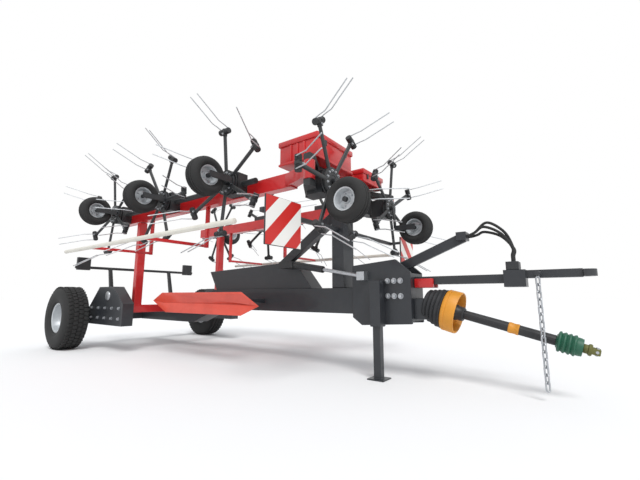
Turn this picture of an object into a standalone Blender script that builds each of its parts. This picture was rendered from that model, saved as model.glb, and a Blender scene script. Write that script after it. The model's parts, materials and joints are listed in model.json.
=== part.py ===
"""Trailed hay tedder, folded for the road and parked on its wheels and jack.

Metres, +Z up, +X towards the tractor, +Y to the machine's left.  Every size below is
measured from the axle station: X from the axle line, Y from the centre plane, Z from
the ground.  MACHINE_X then moves the whole machine so that its origin is the middle
of its footprint.
"""
from math import cos, pi, radians, sin

import bmesh
import bpy
from mathutils import Matrix, Vector

# ------------------------------------------------------------------ driving dimensions
FIT = 0.0004              # gap between pieces that seat on each other
RUN = 0.0025              # radial gap of a shaft in its bore

WHEEL_RADIUS = 0.4225     # road wheel
WHEEL_WIDTH = 0.30
WHEEL_Y = 1.145
RIM_RADIUS = 0.20
RIM_HUB = 0.06            # depth of the rim's inner hub face from the wheel's middle
TONGUE_TIP_X = 5.92
MACHINE_X = -(TONGUE_TIP_X - WHEEL_RADIUS) / 2

BEAM_HALF = 0.12          # main beam
BEAM_LOW = 0.55
BEAM_TOP = 0.80
BEAM_REAR_LOW = 0.36
BEAM_REAR_TOP = 0.50
BEAM_FRONT_X = 4.56
PLATE = 0.03
HEAD_REAR_X = 4.03
HEAD_FRONT_X = 4.62
HEAD_LOW = 0.45
HEAD_TOP = 1.05
SPINE_HALF = 0.10         # deep upper section on the main beam
SPINE_REAR_X = 1.75
SPINE_FRONT_X = 3.25
SPINE_TOP = 1.10

AXLE_HALF = 0.06
AXLE_LOW = 0.3625
AXLE_TOP = 0.4825
AXLE_END_Y = 0.80
AXLE_END_WIDTH = 0.14
STUB_RADIUS = 0.04

CRADLE_REAR_X = 0.90      # cross member that the folded wings rest on
CRADLE_FRONT_X = 1.00
CRADLE_HEIGHT = 0.10
POST_INSET = 0.01

GUARD_IN = 0.55           # side guard panel
GUARD_OUT = 0.65
STAY_RADIUS = 0.025
STAY_Z = 0.66
STAY_STATIONS = (2.05, 2.80)

LAMP_BAR_REAR_X = -0.32
LAMP_BAR_FRONT_X = -0.29
LAMP_BAR_LOW = 1.13
LAMP_BAR_TOP = 1.17
LAMP_BAR_HALF_Y = 1.00
LAMP_IN = 0.80
LAMP_LOW = 1.11
LAMP_TOP = 1.30
LAMP_PROUD = 0.01
UPRIGHT_IN = 0.48
UPRIGHT_OUT = 0.53

DRAWBAR_HALF = 0.04
DRAWBAR_LOW = 0.82
DRAWBAR_TOP = 0.89
HITCH_REAR_X = 5.34       # block between drawbar and tongue
HITCH_FRONT_X = 5.49
HITCH_HALF = 0.075
HITCH_LOW = 0.79
HITCH_TOP = 0.92
TONGUE_END_X = 5.84
TONGUE_HALF = 0.035
TONGUE_LOW = 0.855
TONGUE_TOP = 0.915
EYE_RADIUS = 0.06
EYE_HOLE = 0.026
EYE_HALF_THICK = 0.025

LEG = 0.07                # jack leg, square
LEG_SLACK = 0.0008
LEG_X = 4.32
LEG_TOP = 0.80
SLEEVE_WALL = 0.015
LEG_Y = -(BEAM_HALF + PLATE + 2 * FIT + SLEEVE_WALL + LEG_SLACK + LEG / 2)
SLEEVE_LOW = 0.45
SLEEVE_TOP = 0.86
FOOT = 0.16
FOOT_THICK = 0.012

HUB_Z = 1.85              # height of the folded wing rotors
CENTRE_HUB_Z = 1.73
CENTRE_PLANE_X = 4.10     # plane of the two middle rotors
CENTRE_Y = 0.60
WING_PLANE_Y = 0.90       # plane of the folded wing rotors
ROTOR_PITCH = 2 * CENTRE_Y
FIRST_WING_X = 3.02
WING_ROTORS = 3
HINGE_Y = (FIRST_WING_X + 3 * CENTRE_Y - CENTRE_PLANE_X + WING_PLANE_Y) / 2
HINGE_X = FIRST_WING_X + 3 * CENTRE_Y - HINGE_Y

ARM_COUNT = 6
ARM_REACH = 0.53
ARM_DROP = 0.05
ARM_WIDTH = 0.045
ARM_THICK = 0.028
COIL_RADIUS = 0.032
COIL_LENGTH = 0.13
TINE_RADIUS = 0.006
TINE_REACH = 0.75
TINE_DROP = 0.43
HUB_RADIUS = 0.13
HUB_REAR = -0.03
HUB_FACE = 0.02
BOSS_RADIUS = 0.05
BOSS_LENGTH = 0.05
SPIGOT_RADIUS = 0.025

GAUGE_RADIUS = 0.19
GAUGE_WIDTH = 0.165
GAUGE_DROP = 0.253
GAUGE_HUB_HALF = 0.06
FORK_SIDE = 0.11          # from the gauge wheel's middle to its side plate
FORK_BAR = 0.014          # thickness of the bar that reaches from the spigot to the plate
WING_FORK_LOW = 0.030     # under that bar, past the arms of a wing rotor
MIDDLE_FORK_LOW = 0.042   # and of a middle rotor, whose bar reaches further out
FORK_PLATE_HALF = 0.010
FORK_PLATE_WIDTH = 0.06
MIDDLE_WHEEL_OUT = 0.14   # gauge wheel of a middle rotor, outwards from its hub
MIDDLE_WHEEL_RISE = -0.24

WING_BEAM_IN = 0.62
WING_BEAM_OUT = 0.72
WING_BEAM_LOW = 1.73
WING_BEAM_TOP = 1.87
WING_BEAM_REAR_X = 0.45
WING_BEAM_FRONT_X = 3.72
KNUCKLE_RADIUS = 0.05
HINGE_CLEAR = 0.015
EAR_THICK = 0.06
GEARBOX_HALF = 0.11
GUARD_BAR_RADIUS = 0.0225
GUARD_BAR_Y = 1.40
GUARD_BAR_Z = 1.28
GUARD_BAR_REAR_X = 0.50
GUARD_BAR_FRONT_X = 3.76
REST_GAP = 0.0054

CROSS_REAR_X = 3.76
CROSS_FRONT_X = 3.90
CROSS_HALF_Y = 0.54
COLUMN_HALF = 0.10
MIDDLE_BOX_HALF = 0.08    # gearbox of a middle rotor, across
MIDDLE_BOX_RISE = 0.10    # and up and down from its shaft
EAR_EDGE = 0.035          # ear past the hinge pin, along the machine
EAR_SPREAD = 0.04         # and across it
COVER_LOW = 1.955
COVER_FRONT_X = 4.03
COVERS = {
    # side: rear x, inner y, outer y, top
    "right": (3.55, 0.10, 0.72, 2.20),
    "left": (3.62, 0.12, 0.60, 2.10),
}
BOARD_REAR_X = 4.045      # warning board
BOARD_FRONT_X = 4.060
BOARD_IN = 0.98
BOARD_OUT = 1.38
BOARD_LOW = 1.08
BOARD_TOP = 1.45
BOARD_ARM_Z = 1.40

LIFT_Y = -0.20            # lift cylinder beside the beam
BARREL_RADIUS = 0.035
BARREL_REAR = Vector((3.30, LIFT_Y, 1.06))
BARREL_FRONT = Vector((3.72, LIFT_Y, 0.985))
ROD_RADIUS = 0.018
ROD_LENGTH = 0.45
ROD_EYE = 0.04

PTO_ANGLE = radians(14.7)
PTO_START = Vector((4.863, 0.0, 0.608))
PTO_RADIUS = 0.0375

PIN_REACH = 0.14          # cross pin of the tongue, which carries the chain
PIN_Z = 0.885
PIN_RADIUS = 0.018
CHAIN_X = 5.57
CHAIN_Y = -0.118
CHAIN_TOP = PIN_Z - PIN_RADIUS - FIT
CHAIN_LOW = 0.03
LINK_LENGTH = 0.075
LINK_WIDE = 0.019
LINK_THIN = 0.006

HOSE_RADIUS = 0.011
CLAMP_X = 5.08            # front of the clamp on the hose arm
CLAMP_Z = 1.22
COUPLER_X = 5.41
COUPLER_TOP = 0.985
HOSES = [
    # name, y, crest height above the clamp, forward reach of the crest
    ("hose_right", -0.04, 0.06, 0.20),
    ("hose_middle", 0.0, 0.10, 0.22),
    ("hose_left", 0.04, 0.03, 0.19),
]

COLOURS = {
    # name: (red, green, blue), roughness, metallic
    "frame_red": ((0.62, 0.03, 0.03), 0.40, 0.0),
    "guard_red": ((0.70, 0.08, 0.04), 0.45, 0.0),
    "chassis_grey": ((0.035, 0.040, 0.048), 0.45, 0.0),
    "arm_grey": ((0.045, 0.048, 0.052), 0.50, 0.0),
    "tyre_rubber": ((0.020, 0.020, 0.021), 0.85, 0.0),
    "rim_silver": ((0.52, 0.53, 0.54), 0.40, 0.6),
    "zinc": ((0.55, 0.56, 0.57), 0.35, 0.9),
    "board_white": ((0.85, 0.85, 0.83), 0.40, 0.0),
    "bar_white": ((0.75, 0.74, 0.70), 0.45, 0.0),
    "cone_yellow": ((0.80, 0.38, 0.03), 0.50, 0.0),
    "tube_black": ((0.02, 0.02, 0.02), 0.50, 0.0),
    "guard_green": ((0.02, 0.16, 0.07), 0.50, 0.0),
    "yoke_olive": ((0.14, 0.13, 0.06), 0.55, 0.5),
    "lamp_black": ((0.02, 0.02, 0.02), 0.40, 0.0),
}


# ------------------------------------------------------------------------ solid helpers
def finish_mesh(name, bm):
    """Turn a bmesh into a closed mesh whose faces point outwards."""
    bmesh.ops.recalc_face_normals(bm, faces=bm.faces)
    mesh = bpy.data.meshes.new(name)
    bm.to_mesh(mesh)
    bm.free()
    return mesh


def box(low, high):
    """A box between two opposite corners."""
    low, high = Vector(low), Vector(high)
    bm = bmesh.new()
    bmesh.ops.create_cube(bm, size=1.0)
    size = high - low
    middle = (low + high) / 2
    place = Matrix.Translation(middle) @ Matrix.Diagonal((*size, 1))
    bmesh.ops.transform(bm, matrix=place, verts=bm.verts)
    return finish_mesh("box", bm)


def side_box(side, x_range, y_range, z_range):
    """A box whose Y range is counted outwards on one side of the machine."""
    y_low, y_high = sorted((side * y_range[0], side * y_range[1]))
    return box((x_range[0], y_low, z_range[0]), (x_range[1], y_high, z_range[1]))


def extruded(points, along):
    """A flat outline extruded along a vector."""
    bm = bmesh.new()
    face = bm.faces.new([bm.verts.new(point) for point in points])
    moved = bmesh.ops.extrude_face_region(bm, geom=[face])["geom"]
    bmesh.ops.translate(bm, vec=along, verts=[v for v in moved if isinstance(v, bmesh.types.BMVert)])
    return finish_mesh("extruded", bm)


def prism(outline, y_low, y_high):
    """An outline in the X-Z plane, extruded along Y."""
    return extruded([(x, y_low, z) for x, z in outline], (0, y_high - y_low, 0))


def slab(outline, z_low, z_high):
    """An outline in the X-Y plane, extruded along Z."""
    return extruded([(x, y, z_low) for x, y in outline], (0, 0, z_high - z_low))


def side_prism(side, outline, y_range):
    """A prism whose Y range is counted outwards on one side of the machine."""
    return prism(outline, *sorted((side * y_range[0], side * y_range[1])))


def rod(start, end, radius, sides=12):
    """A round bar between two points."""
    start, end = Vector(start), Vector(end)
    along = end - start
    bm = bmesh.new()
    bmesh.ops.create_cone(bm, cap_ends=True, segments=sides, radius1=radius, radius2=radius,
                          depth=along.length)
    turn = along.to_track_quat("Z", "Y").to_matrix().to_4x4()
    bmesh.ops.transform(bm, matrix=Matrix.Translation((start + end) / 2) @ turn, verts=bm.verts)
    return finish_mesh("rod", bm)


def flat_bar(start, end, width_axis, width, thick):
    """A flat bar between two points, wide along width_axis."""
    start, end = Vector(start), Vector(end)
    along = (end - start).normalized()
    across = Vector(width_axis).normalized()
    third = along.cross(across)
    bm = bmesh.new()
    bmesh.ops.create_cube(bm, size=1.0)
    turn = Matrix((along, across, third)).transposed().to_4x4()
    size = Matrix.Diagonal(((end - start).length, width, thick, 1))
    bmesh.ops.transform(bm, matrix=Matrix.Translation((start + end) / 2) @ turn @ size, verts=bm.verts)
    return finish_mesh("flat_bar", bm)


def turned(profile, segments, place, closed=False):
    """Spin a profile of (radius, height) about Z; a closed profile makes a ring."""
    bm = bmesh.new()
    verts = [bm.verts.new((radius, 0, height)) for radius, height in profile]
    edges = [bm.edges.new(pair) for pair in zip(verts, verts[1:])]
    if closed:
        edges.append(bm.edges.new((verts[-1], verts[0])))
    bmesh.ops.spin(bm, geom=verts + edges, cent=(0, 0, 0), axis=(0, 0, 1), angle=2 * pi,
                   steps=segments, use_merge=True)
    bmesh.ops.remove_doubles(bm, verts=bm.verts, dist=1e-6)
    bmesh.ops.transform(bm, matrix=place, verts=bm.verts)
    return finish_mesh("turned", bm)


def swept(points, radius, sides):
    """A round wire through points, with flat ends."""
    points = [Vector(p) for p in points]
    bm = bmesh.new()
    rings = []
    for i, point in enumerate(points):
        ahead = points[min(i + 1, len(points) - 1)] - points[max(i - 1, 0)]
        turn = ahead.to_track_quat("Z", "Y").to_matrix()
        rings.append([bm.verts.new(point + turn @ Vector((radius * cos(2 * pi * k / sides),
                                                          radius * sin(2 * pi * k / sides), 0)))
                      for k in range(sides)])
    for near, far in zip(rings, rings[1:]):
        for k in range(sides):
            bm.faces.new((near[k], near[(k + 1) % sides], far[(k + 1) % sides], far[k]))
    bm.faces.new(rings[0])
    bm.faces.new(rings[-1])
    return finish_mesh("swept", bm)


def boolean(mesh, others, operation):
    """Join others to a mesh, or cut them from it, with exact Booleans."""
    scene = bpy.context.scene.collection
    base = bpy.data.objects.new("base", mesh)
    scene.objects.link(base)
    tools = bpy.data.collections.new("tools")
    scene.children.link(tools)
    for other in others:
        tools.objects.link(bpy.data.objects.new("tool", other))
    modifier = base.modifiers.new("Boolean", "BOOLEAN")
    modifier.operation = operation
    modifier.solver = "EXACT"
    modifier.operand_type = "COLLECTION"
    modifier.collection = tools
    graph = bpy.context.evaluated_depsgraph_get()
    result = bpy.data.meshes.new_from_object(base.evaluated_get(graph))
    for tool in list(tools.objects):
        bpy.data.objects.remove(tool)
    bpy.data.collections.remove(tools)
    bpy.data.objects.remove(base)
    return result


def weld(solids):
    """One closed body from solids that overlap."""
    return solids[0] if len(solids) == 1 else boolean(solids[0], solids[1:], "UNION")


def copies(mesh, places):
    """The same mesh at each of several places."""
    made = []
    for place in places:
        copy = mesh.copy()
        copy.transform(place)
        made.append(copy)
    return made


# ------------------------------------------------------------------------- scene helpers
def material(name):
    """The Principled material of a colour in the table."""
    if name in bpy.data.materials:
        return bpy.data.materials[name]
    colour, roughness, metallic = COLOURS[name]
    made = bpy.data.materials.new(name)
    made.use_nodes = True
    shader = made.node_tree.nodes["Principled BSDF"]
    shader.inputs["Base Color"].default_value = (*colour, 1.0)
    shader.inputs["Roughness"].default_value = roughness
    shader.inputs["Metallic"].default_value = metallic
    made.diffuse_color = (*colour, 1.0)
    return made


def joint_empty(name, parent, pivot):
    """An empty on a joint's axis, which carries the pieces that the joint moves."""
    empty = bpy.data.objects.new(name, None)
    bpy.context.scene.collection.objects.link(empty)
    empty["pivot"] = tuple(pivot)
    empty.parent = parent
    base = Vector(parent["pivot"]) if parent else Vector((-MACHINE_X, 0, 0))
    empty.location = Vector(pivot) - base
    return empty


def node(name, carrier, solids, colour):
    """A named piece: solids welded to one body, carried by a joint's empty."""
    mesh = weld(solids)
    mesh.name = name
    mesh.transform(Matrix.Translation(-Vector(carrier["pivot"])))
    mesh.shade_smooth()
    mesh.set_sharp_from_angle(angle=radians(35))
    mesh.materials.clear()
    mesh.materials.append(material(colour))
    made = bpy.data.objects.new(name, mesh)
    bpy.context.scene.collection.objects.link(made)
    made.parent = carrier
    return made


def side_name(side):
    """right is the -Y side, left the +Y side."""
    return "left" if side > 0 else "right"


# ------------------------------------------------------------------------------- chassis
def build_chassis(root):
    """Main beam, head, axle, cradle, guards and lamp bar."""
    beam_outline = [(AXLE_HALF + FIT, BEAM_REAR_LOW), (1.45, BEAM_REAR_LOW), (1.95, BEAM_LOW),
                    (BEAM_FRONT_X - FIT, BEAM_LOW), (BEAM_FRONT_X - FIT, BEAM_TOP),
                    (1.85, BEAM_TOP), (1.35, BEAM_REAR_TOP), (AXLE_HALF + FIT, BEAM_REAR_TOP)]
    node("main_beam", root, [prism(beam_outline, -BEAM_HALF, BEAM_HALF)], "chassis_grey")
    spine_outline = [(SPINE_REAR_X + 0.15, BEAM_TOP + FIT), (SPINE_FRONT_X + 0.25, BEAM_TOP + FIT),
                     (SPINE_FRONT_X, SPINE_TOP), (SPINE_REAR_X, SPINE_TOP - 0.06)]
    node("upper_beam", root, [prism(spine_outline, -SPINE_HALF, SPINE_HALF)], "chassis_grey")

    plate_outline = [(HEAD_REAR_X, 0.52), (HEAD_REAR_X + 0.10, HEAD_LOW), (HEAD_FRONT_X, HEAD_LOW + 0.03),
                     (HEAD_FRONT_X, 0.93), (HEAD_FRONT_X - 0.14, HEAD_TOP), (HEAD_REAR_X, HEAD_TOP - 0.04)]
    plate_in = BEAM_HALF + FIT
    plates = [side_prism(side, plate_outline, (plate_in, plate_in + PLATE)) for side in (-1, 1)]
    nose = box((BEAM_FRONT_X, -plate_in - PLATE / 2, 0.50), (HEAD_FRONT_X, plate_in + PLATE / 2, 0.92))
    node("head_plates", root, [nose] + plates, "chassis_grey")

    overlap = 0.02
    axle = [box((-AXLE_HALF, -AXLE_END_Y - overlap, AXLE_LOW), (AXLE_HALF, AXLE_END_Y + overlap, AXLE_TOP))]
    end_outline = [(-0.12, 0.34), (1.15, 0.34), (1.15, 0.62), (0.85, 0.84),
                   (0.45, 0.84), (0.15, 0.55), (-0.12, 0.52)]
    stub_end = WHEEL_Y - RIM_HUB - FIT
    for side in (-1, 1):
        axle.append(side_prism(side, end_outline, (AXLE_END_Y, AXLE_END_Y + AXLE_END_WIDTH)))
        axle.append(rod((0, side * (AXLE_END_Y + AXLE_END_WIDTH / 2), WHEEL_RADIUS),
                        (0, side * stub_end, WHEEL_RADIUS), STUB_RADIUS, 16))
    node("axle_beam", root, axle, "chassis_grey")

    cradle_end = AXLE_END_Y - FIT
    cradle = [box((CRADLE_REAR_X, -cradle_end, BEAM_REAR_TOP + FIT),
                  (CRADLE_FRONT_X, cradle_end, BEAM_REAR_TOP + CRADLE_HEIGHT))]
    for side in (-1, 1):
        cradle.append(side_box(side, (CRADLE_REAR_X + POST_INSET, CRADLE_FRONT_X - POST_INSET),
                               (WING_BEAM_IN, WING_BEAM_OUT),
                               (BEAM_REAR_TOP + CRADLE_HEIGHT / 2, WING_BEAM_LOW - REST_GAP)))
    node("rear_cradle", root, cradle, "frame_red")

    guard_outline = [(1.32, 0.66), (1.62, 0.52), (3.00, 0.52), (3.26, 0.62), (3.00, 0.76), (1.52, 0.76)]
    for side in (-1, 1):
        panel = side_prism(side, guard_outline, (GUARD_IN, GUARD_OUT))
        stays = [rod((x, side * (BEAM_HALF + FIT), STAY_Z), (x, side * (GUARD_IN + GUARD_OUT) / 2, STAY_Z),
                     STAY_RADIUS, 8) for x in STAY_STATIONS]
        node("side_guard_" + side_name(side), root, [panel] + stays, "guard_red")

    lamp_bar = [box((LAMP_BAR_REAR_X, -LAMP_BAR_HALF_Y, LAMP_BAR_LOW),
                    (LAMP_BAR_FRONT_X, LAMP_BAR_HALF_Y, LAMP_BAR_TOP))]
    foot_x = -AXLE_HALF - FIT
    upright_outline = [(-0.12, 0.38), (foot_x, 0.38), (foot_x, 0.46),
                       (LAMP_BAR_FRONT_X + 0.01, LAMP_BAR_TOP - 0.01), (LAMP_BAR_REAR_X, LAMP_BAR_TOP - 0.01)]
    for side in (-1, 1):
        lamp_bar.append(side_box(side, (LAMP_BAR_REAR_X - LAMP_PROUD, LAMP_BAR_FRONT_X + LAMP_PROUD),
                                 (LAMP_IN, LAMP_BAR_HALF_Y - 0.02), (LAMP_LOW, LAMP_TOP)))
        lamp_bar.append(side_prism(side, upright_outline, (UPRIGHT_IN, UPRIGHT_OUT)))
    node("lamp_bar", root, lamp_bar, "lamp_black")


def build_stand(root, leg_body):
    """Square jack leg in a sleeve on the right head plate."""
    half = LEG / 2
    bore = half + LEG_SLACK
    outer = bore + SLEEVE_WALL
    sleeve = box((LEG_X - outer, LEG_Y - outer, SLEEVE_LOW), (LEG_X + outer, LEG_Y + outer, SLEEVE_TOP))
    cut = box((LEG_X - bore, LEG_Y - bore, SLEEVE_LOW - 0.05), (LEG_X + bore, LEG_Y + bore, SLEEVE_TOP + 0.05))
    node("stand_sleeve", root, [boolean(sleeve, [cut], "DIFFERENCE")], "chassis_grey")
    foot = box((LEG_X - FOOT / 2, LEG_Y - FOOT / 2, 0), (LEG_X + FOOT / 2, LEG_Y + FOOT / 2, FOOT_THICK))
    leg = box((LEG_X - half, LEG_Y - half, FOOT_THICK / 2), (LEG_X + half, LEG_Y + half, LEG_TOP))
    node("stand_leg", leg_body, [leg, foot], "chassis_grey")


def build_drawbar(root):
    """Square drawbar with its hitch block, cross pin and towing eye."""
    hitch_x = (HITCH_REAR_X + HITCH_FRONT_X) / 2
    bar = box((HEAD_FRONT_X + FIT, -DRAWBAR_HALF, DRAWBAR_LOW), (hitch_x, DRAWBAR_HALF, DRAWBAR_TOP))
    block = box((HITCH_REAR_X, -HITCH_HALF, HITCH_LOW), (HITCH_FRONT_X, HITCH_HALF, HITCH_TOP))
    tongue = box((hitch_x, -TONGUE_HALF, TONGUE_LOW), (TONGUE_END_X, TONGUE_HALF, TONGUE_TOP))
    pin = rod((CHAIN_X, -PIN_REACH, PIN_Z), (CHAIN_X, PIN_REACH, PIN_Z), PIN_RADIUS, 12)
    node("drawbar", root, [bar, block, tongue, pin], "chassis_grey")
    section = [(EYE_HOLE, -EYE_HALF_THICK), (EYE_RADIUS, -EYE_HALF_THICK),
               (EYE_RADIUS, EYE_HALF_THICK), (EYE_HOLE, EYE_HALF_THICK)]
    ring = turned(section, 24, Matrix.Translation((TONGUE_TIP_X - EYE_RADIUS, 0, PIN_Z)), closed=True)
    cut = box((TONGUE_END_X - 2 * EYE_RADIUS, -2 * EYE_RADIUS, PIN_Z - EYE_RADIUS),
              (TONGUE_END_X + FIT, 2 * EYE_RADIUS, PIN_Z + EYE_RADIUS))
    node("towing_eye", root, [boolean(ring, [cut], "DIFFERENCE")], "chassis_grey")


def build_pto(root, yoke_body):
    """Cone guard, shaft guard and yoke, end to end on one sloping axis."""
    gearbox = box((HEAD_FRONT_X + FIT, -0.09, 0.52), (4.85, 0.09, 0.70))
    node("pto_gearbox", root, [gearbox], "chassis_grey")
    axis = Vector((cos(PTO_ANGLE), 0, -sin(PTO_ANGLE)))
    place = Matrix.Translation(PTO_START) @ axis.to_track_quat("Z", "Y").to_matrix().to_4x4()
    cone = [(0, 0), (0.05, 0), (0.13, 0.055), (0.175, 0.07), (0.175, 0.12), (0.163, 0.12), (0.12, 0.07),
            (0.05, 0.04), (0, 0.04)]
    node("pto_cone", root, [turned(cone, 24, place)], "cone_yellow")
    tube = [(0, 0.04 + FIT), (PTO_RADIUS, 0.04 + FIT), (PTO_RADIUS, 0.80), (0, 0.80)]
    node("pto_tube", root, [turned(tube, 16, place)], "tube_black")
    guard = [(0, 0.80 + FIT), (0.05, 0.80 + FIT), (0.075, 0.84), (0.075, 0.93), (0.06, 0.96), (0, 0.96)]
    node("pto_end_guard", root, [turned(guard, 16, place)], "guard_green")
    yoke = [(0, 0.96 + FIT), (0.032, 0.96 + FIT), (0.036, 1.00), (0.045, 1.00), (0.045, 1.06), (0, 1.06)]
    node("pto_yoke", yoke_body, [turned(yoke, 16, place)], "yoke_olive")


def build_tower(root):
    """Column, cross frame with the wing hinges, covers, boards and the lift cylinder."""
    column = box((CROSS_REAR_X, -COLUMN_HALF, BEAM_TOP + FIT),
                 (CROSS_FRONT_X, COLUMN_HALF, WING_BEAM_LOW - FIT))
    brace = prism([(2.95, SPINE_TOP + FIT), (3.12, SPINE_TOP + FIT), (3.80, 1.54), (3.80, 1.68)], -0.04, 0.04)
    node("tower", root, [column, brace], "chassis_grey")

    ear_low, ear_top = WING_BEAM_LOW - HINGE_CLEAR, WING_BEAM_TOP + HINGE_CLEAR
    frame = [box((CROSS_REAR_X, -CROSS_HALF_Y, WING_BEAM_LOW), (CROSS_FRONT_X, CROSS_HALF_Y, WING_BEAM_TOP))]
    for side in (-1, 1):
        frame.append(side_box(side, (CROSS_REAR_X - 0.005, CROSS_FRONT_X + 0.005), (0.42, CROSS_HALF_Y + 0.005),
                              (ear_low - EAR_THICK, ear_top + EAR_THICK)))
        # the gearbox of each middle rotor stands in front of the cross beam
        frame.append(side_box(side, (CROSS_FRONT_X - 0.02, CENTRE_PLANE_X - BOSS_LENGTH - FIT),
                              (CENTRE_Y - MIDDLE_BOX_HALF, CENTRE_Y + MIDDLE_BOX_HALF),
                              (CENTRE_HUB_Z - MIDDLE_BOX_RISE, CENTRE_HUB_Z + MIDDLE_BOX_RISE)))
        ear = [(3.80, side * 0.47), (3.88, side * 0.47), (HINGE_X + EAR_EDGE, side * (HINGE_Y - EAR_SPREAD)),
               (HINGE_X + EAR_EDGE, side * (HINGE_Y + EAR_SPREAD)),
               (HINGE_X - EAR_EDGE, side * (HINGE_Y + EAR_SPREAD)), (3.80, side * 0.60)]
        frame.append(slab(ear, ear_low - EAR_THICK, ear_low))
        frame.append(slab(ear, ear_top, ear_top + EAR_THICK))
        frame.append(side_box(side, (CROSS_REAR_X + 0.03, CROSS_FRONT_X - 0.03), (0.20, 0.30),
                              (WING_BEAM_TOP - 0.02, COVER_LOW - FIT)))
    for side in (-1, 1):
        frame.extend(gauge_fork(middle_frame(side), side * MIDDLE_WHEEL_OUT, MIDDLE_WHEEL_RISE,
                                -side, MIDDLE_FORK_LOW))
    node("centre_frame", root, frame, "arm_grey")

    for side in (-1, 1):
        rear, inner, outer, top = COVERS[side_name(side)]
        shell = side_box(side, (rear, COVER_FRONT_X), (inner, outer), (COVER_LOW, top))
        node("cover_" + side_name(side), root, [shell], "frame_red")

    for side in (-1, 1):
        arm = side_box(side, (3.81, 3.85), (COLUMN_HALF + FIT, 1.20),
                       (BOARD_ARM_Z - 0.02, BOARD_ARM_Z + 0.02))
        stub = side_box(side, (3.82, BOARD_REAR_X + 0.005), (1.15, 1.19),
                        (BOARD_ARM_Z - 0.015, BOARD_ARM_Z + 0.015))
        plate = side_box(side, (BOARD_REAR_X, BOARD_FRONT_X), (BOARD_IN, BOARD_OUT), (BOARD_LOW, BOARD_TOP))
        node("warning_board_" + side_name(side), root, [plate, stub, arm], "board_white")

    barrel = [rod(BARREL_REAR, BARREL_FRONT, BARREL_RADIUS, 14),
              box((3.14, LIFT_Y - 0.04, 1.02), (3.34, -SPINE_HALF - FIT, 1.09))]
    node("lift_cylinder_barrel", root, barrel, "arm_grey")
    slope = (BARREL_FRONT - BARREL_REAR).normalized()
    rod_start = BARREL_FRONT + FIT * slope
    rod_end = rod_start + slope * ROD_LENGTH
    eye = box((rod_end.x - ROD_EYE, LIFT_Y - 0.03, rod_end.z - ROD_EYE),
              (rod_end.x + ROD_EYE, -BEAM_HALF - PLATE - 2 * FIT, rod_end.z + ROD_EYE))
    node("lift_cylinder_rod", root, [rod(rod_start, rod_end, ROD_RADIUS, 12), eye], "zinc")


# -------------------------------------------------------------------------------- rotors
def middle_frame(side):
    """Rotor frame of a middle rotor: local Z is the working side, local Y is up."""
    return Matrix(((0, 0, 1, CENTRE_PLANE_X),
                   (1, 0, 0, side * CENTRE_Y),
                   (0, 1, 0, CENTRE_HUB_Z),
                   (0, 0, 0, 1)))


def wing_frame(side, x):
    """Rotor frame of a folded wing rotor at station x."""
    return Matrix(((-side, 0, 0, x),
                   (0, 0, side, side * WING_PLANE_Y),
                   (0, 1, 0, HUB_Z),
                   (0, 0, 0, 1)))


def rotor_solids():
    """Hub, arms, spring coils and tines in the rotor's own frame."""
    bore = SPIGOT_RADIUS + RUN
    section = [(bore, -BOSS_LENGTH), (BOSS_RADIUS, -BOSS_LENGTH), (BOSS_RADIUS, HUB_REAR),
               (HUB_RADIUS, HUB_REAR), (HUB_RADIUS, HUB_FACE), (bore, HUB_FACE)]
    hub = turned(section, 12, Matrix(), closed=True)
    arm_root = Vector((0.07, 0, 0))
    arm_end = Vector((ARM_REACH, 0, ARM_DROP))
    half_coil = Vector((0, COIL_LENGTH / 2, 0))
    arm = [flat_bar(arm_root, arm_end, (0, 1, 0), ARM_WIDTH, ARM_THICK),
           rod(arm_end - half_coil, arm_end + half_coil, COIL_RADIUS, 6)]
    for offset in (-0.4 * COIL_LENGTH, 0.4 * COIL_LENGTH):
        bend = (ARM_REACH + 0.06, offset, ARM_DROP + 0.12)
        tine = [(ARM_REACH, offset, ARM_DROP), bend, (TINE_REACH, offset, TINE_DROP)]
        arm.append(swept(tine, TINE_RADIUS, 3))
    one = weld(arm)
    turns = [Matrix.Rotation(2 * pi * k / ARM_COUNT, 4, "Z") for k in range(ARM_COUNT)]
    return [hub] + copies(one, turns)


def gauge_fork(place, wheel_x, wheel_y, plate_side, bar_low):
    """Spigot through the rotor hub, cross bar, side plate and axle pin of a gauge wheel."""
    plate_x = wheel_x + plate_side * FORK_SIDE
    pin_end = wheel_x + plate_side * (GAUGE_HUB_HALF + FIT)
    bar_z = bar_low + FORK_BAR / 2
    plate_half = FORK_PLATE_WIDTH / 2
    solids = [rod((0, 0, -BOSS_LENGTH - 0.04), (0, 0, bar_z), SPIGOT_RADIUS, 12),
              flat_bar((0, 0, bar_z), (plate_x, wheel_y, bar_z), (0, 0, 1), FORK_BAR, 0.05),
              box((plate_x - FORK_PLATE_HALF, wheel_y - plate_half, bar_low),
                  (plate_x + FORK_PLATE_HALF, wheel_y + plate_half, GAUGE_DROP + plate_half)),
              rod((plate_x, wheel_y, GAUGE_DROP), (pin_end, wheel_y, GAUGE_DROP), 0.014, 10)]
    return [moved for solid in solids for moved in copies(solid, [place])]


def gauge_wheel(place, wheel_x, wheel_y):
    """Small tyre on its rim as one turned solid about local X."""
    half = GAUGE_WIDTH / 2
    profile = [(0, -GAUGE_HUB_HALF), (0.09, -0.03), (0.10, -0.065), (0.14, -half), (GAUGE_RADIUS, -0.045),
               (GAUGE_RADIUS, 0.045), (0.14, half), (0.10, 0.065), (0.09, 0.03), (0, GAUGE_HUB_HALF)]
    local = Matrix.Translation((wheel_x, wheel_y, GAUGE_DROP)) @ Matrix.Rotation(pi / 2, 4, "Y")
    return turned(profile, 14, place @ local)


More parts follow.
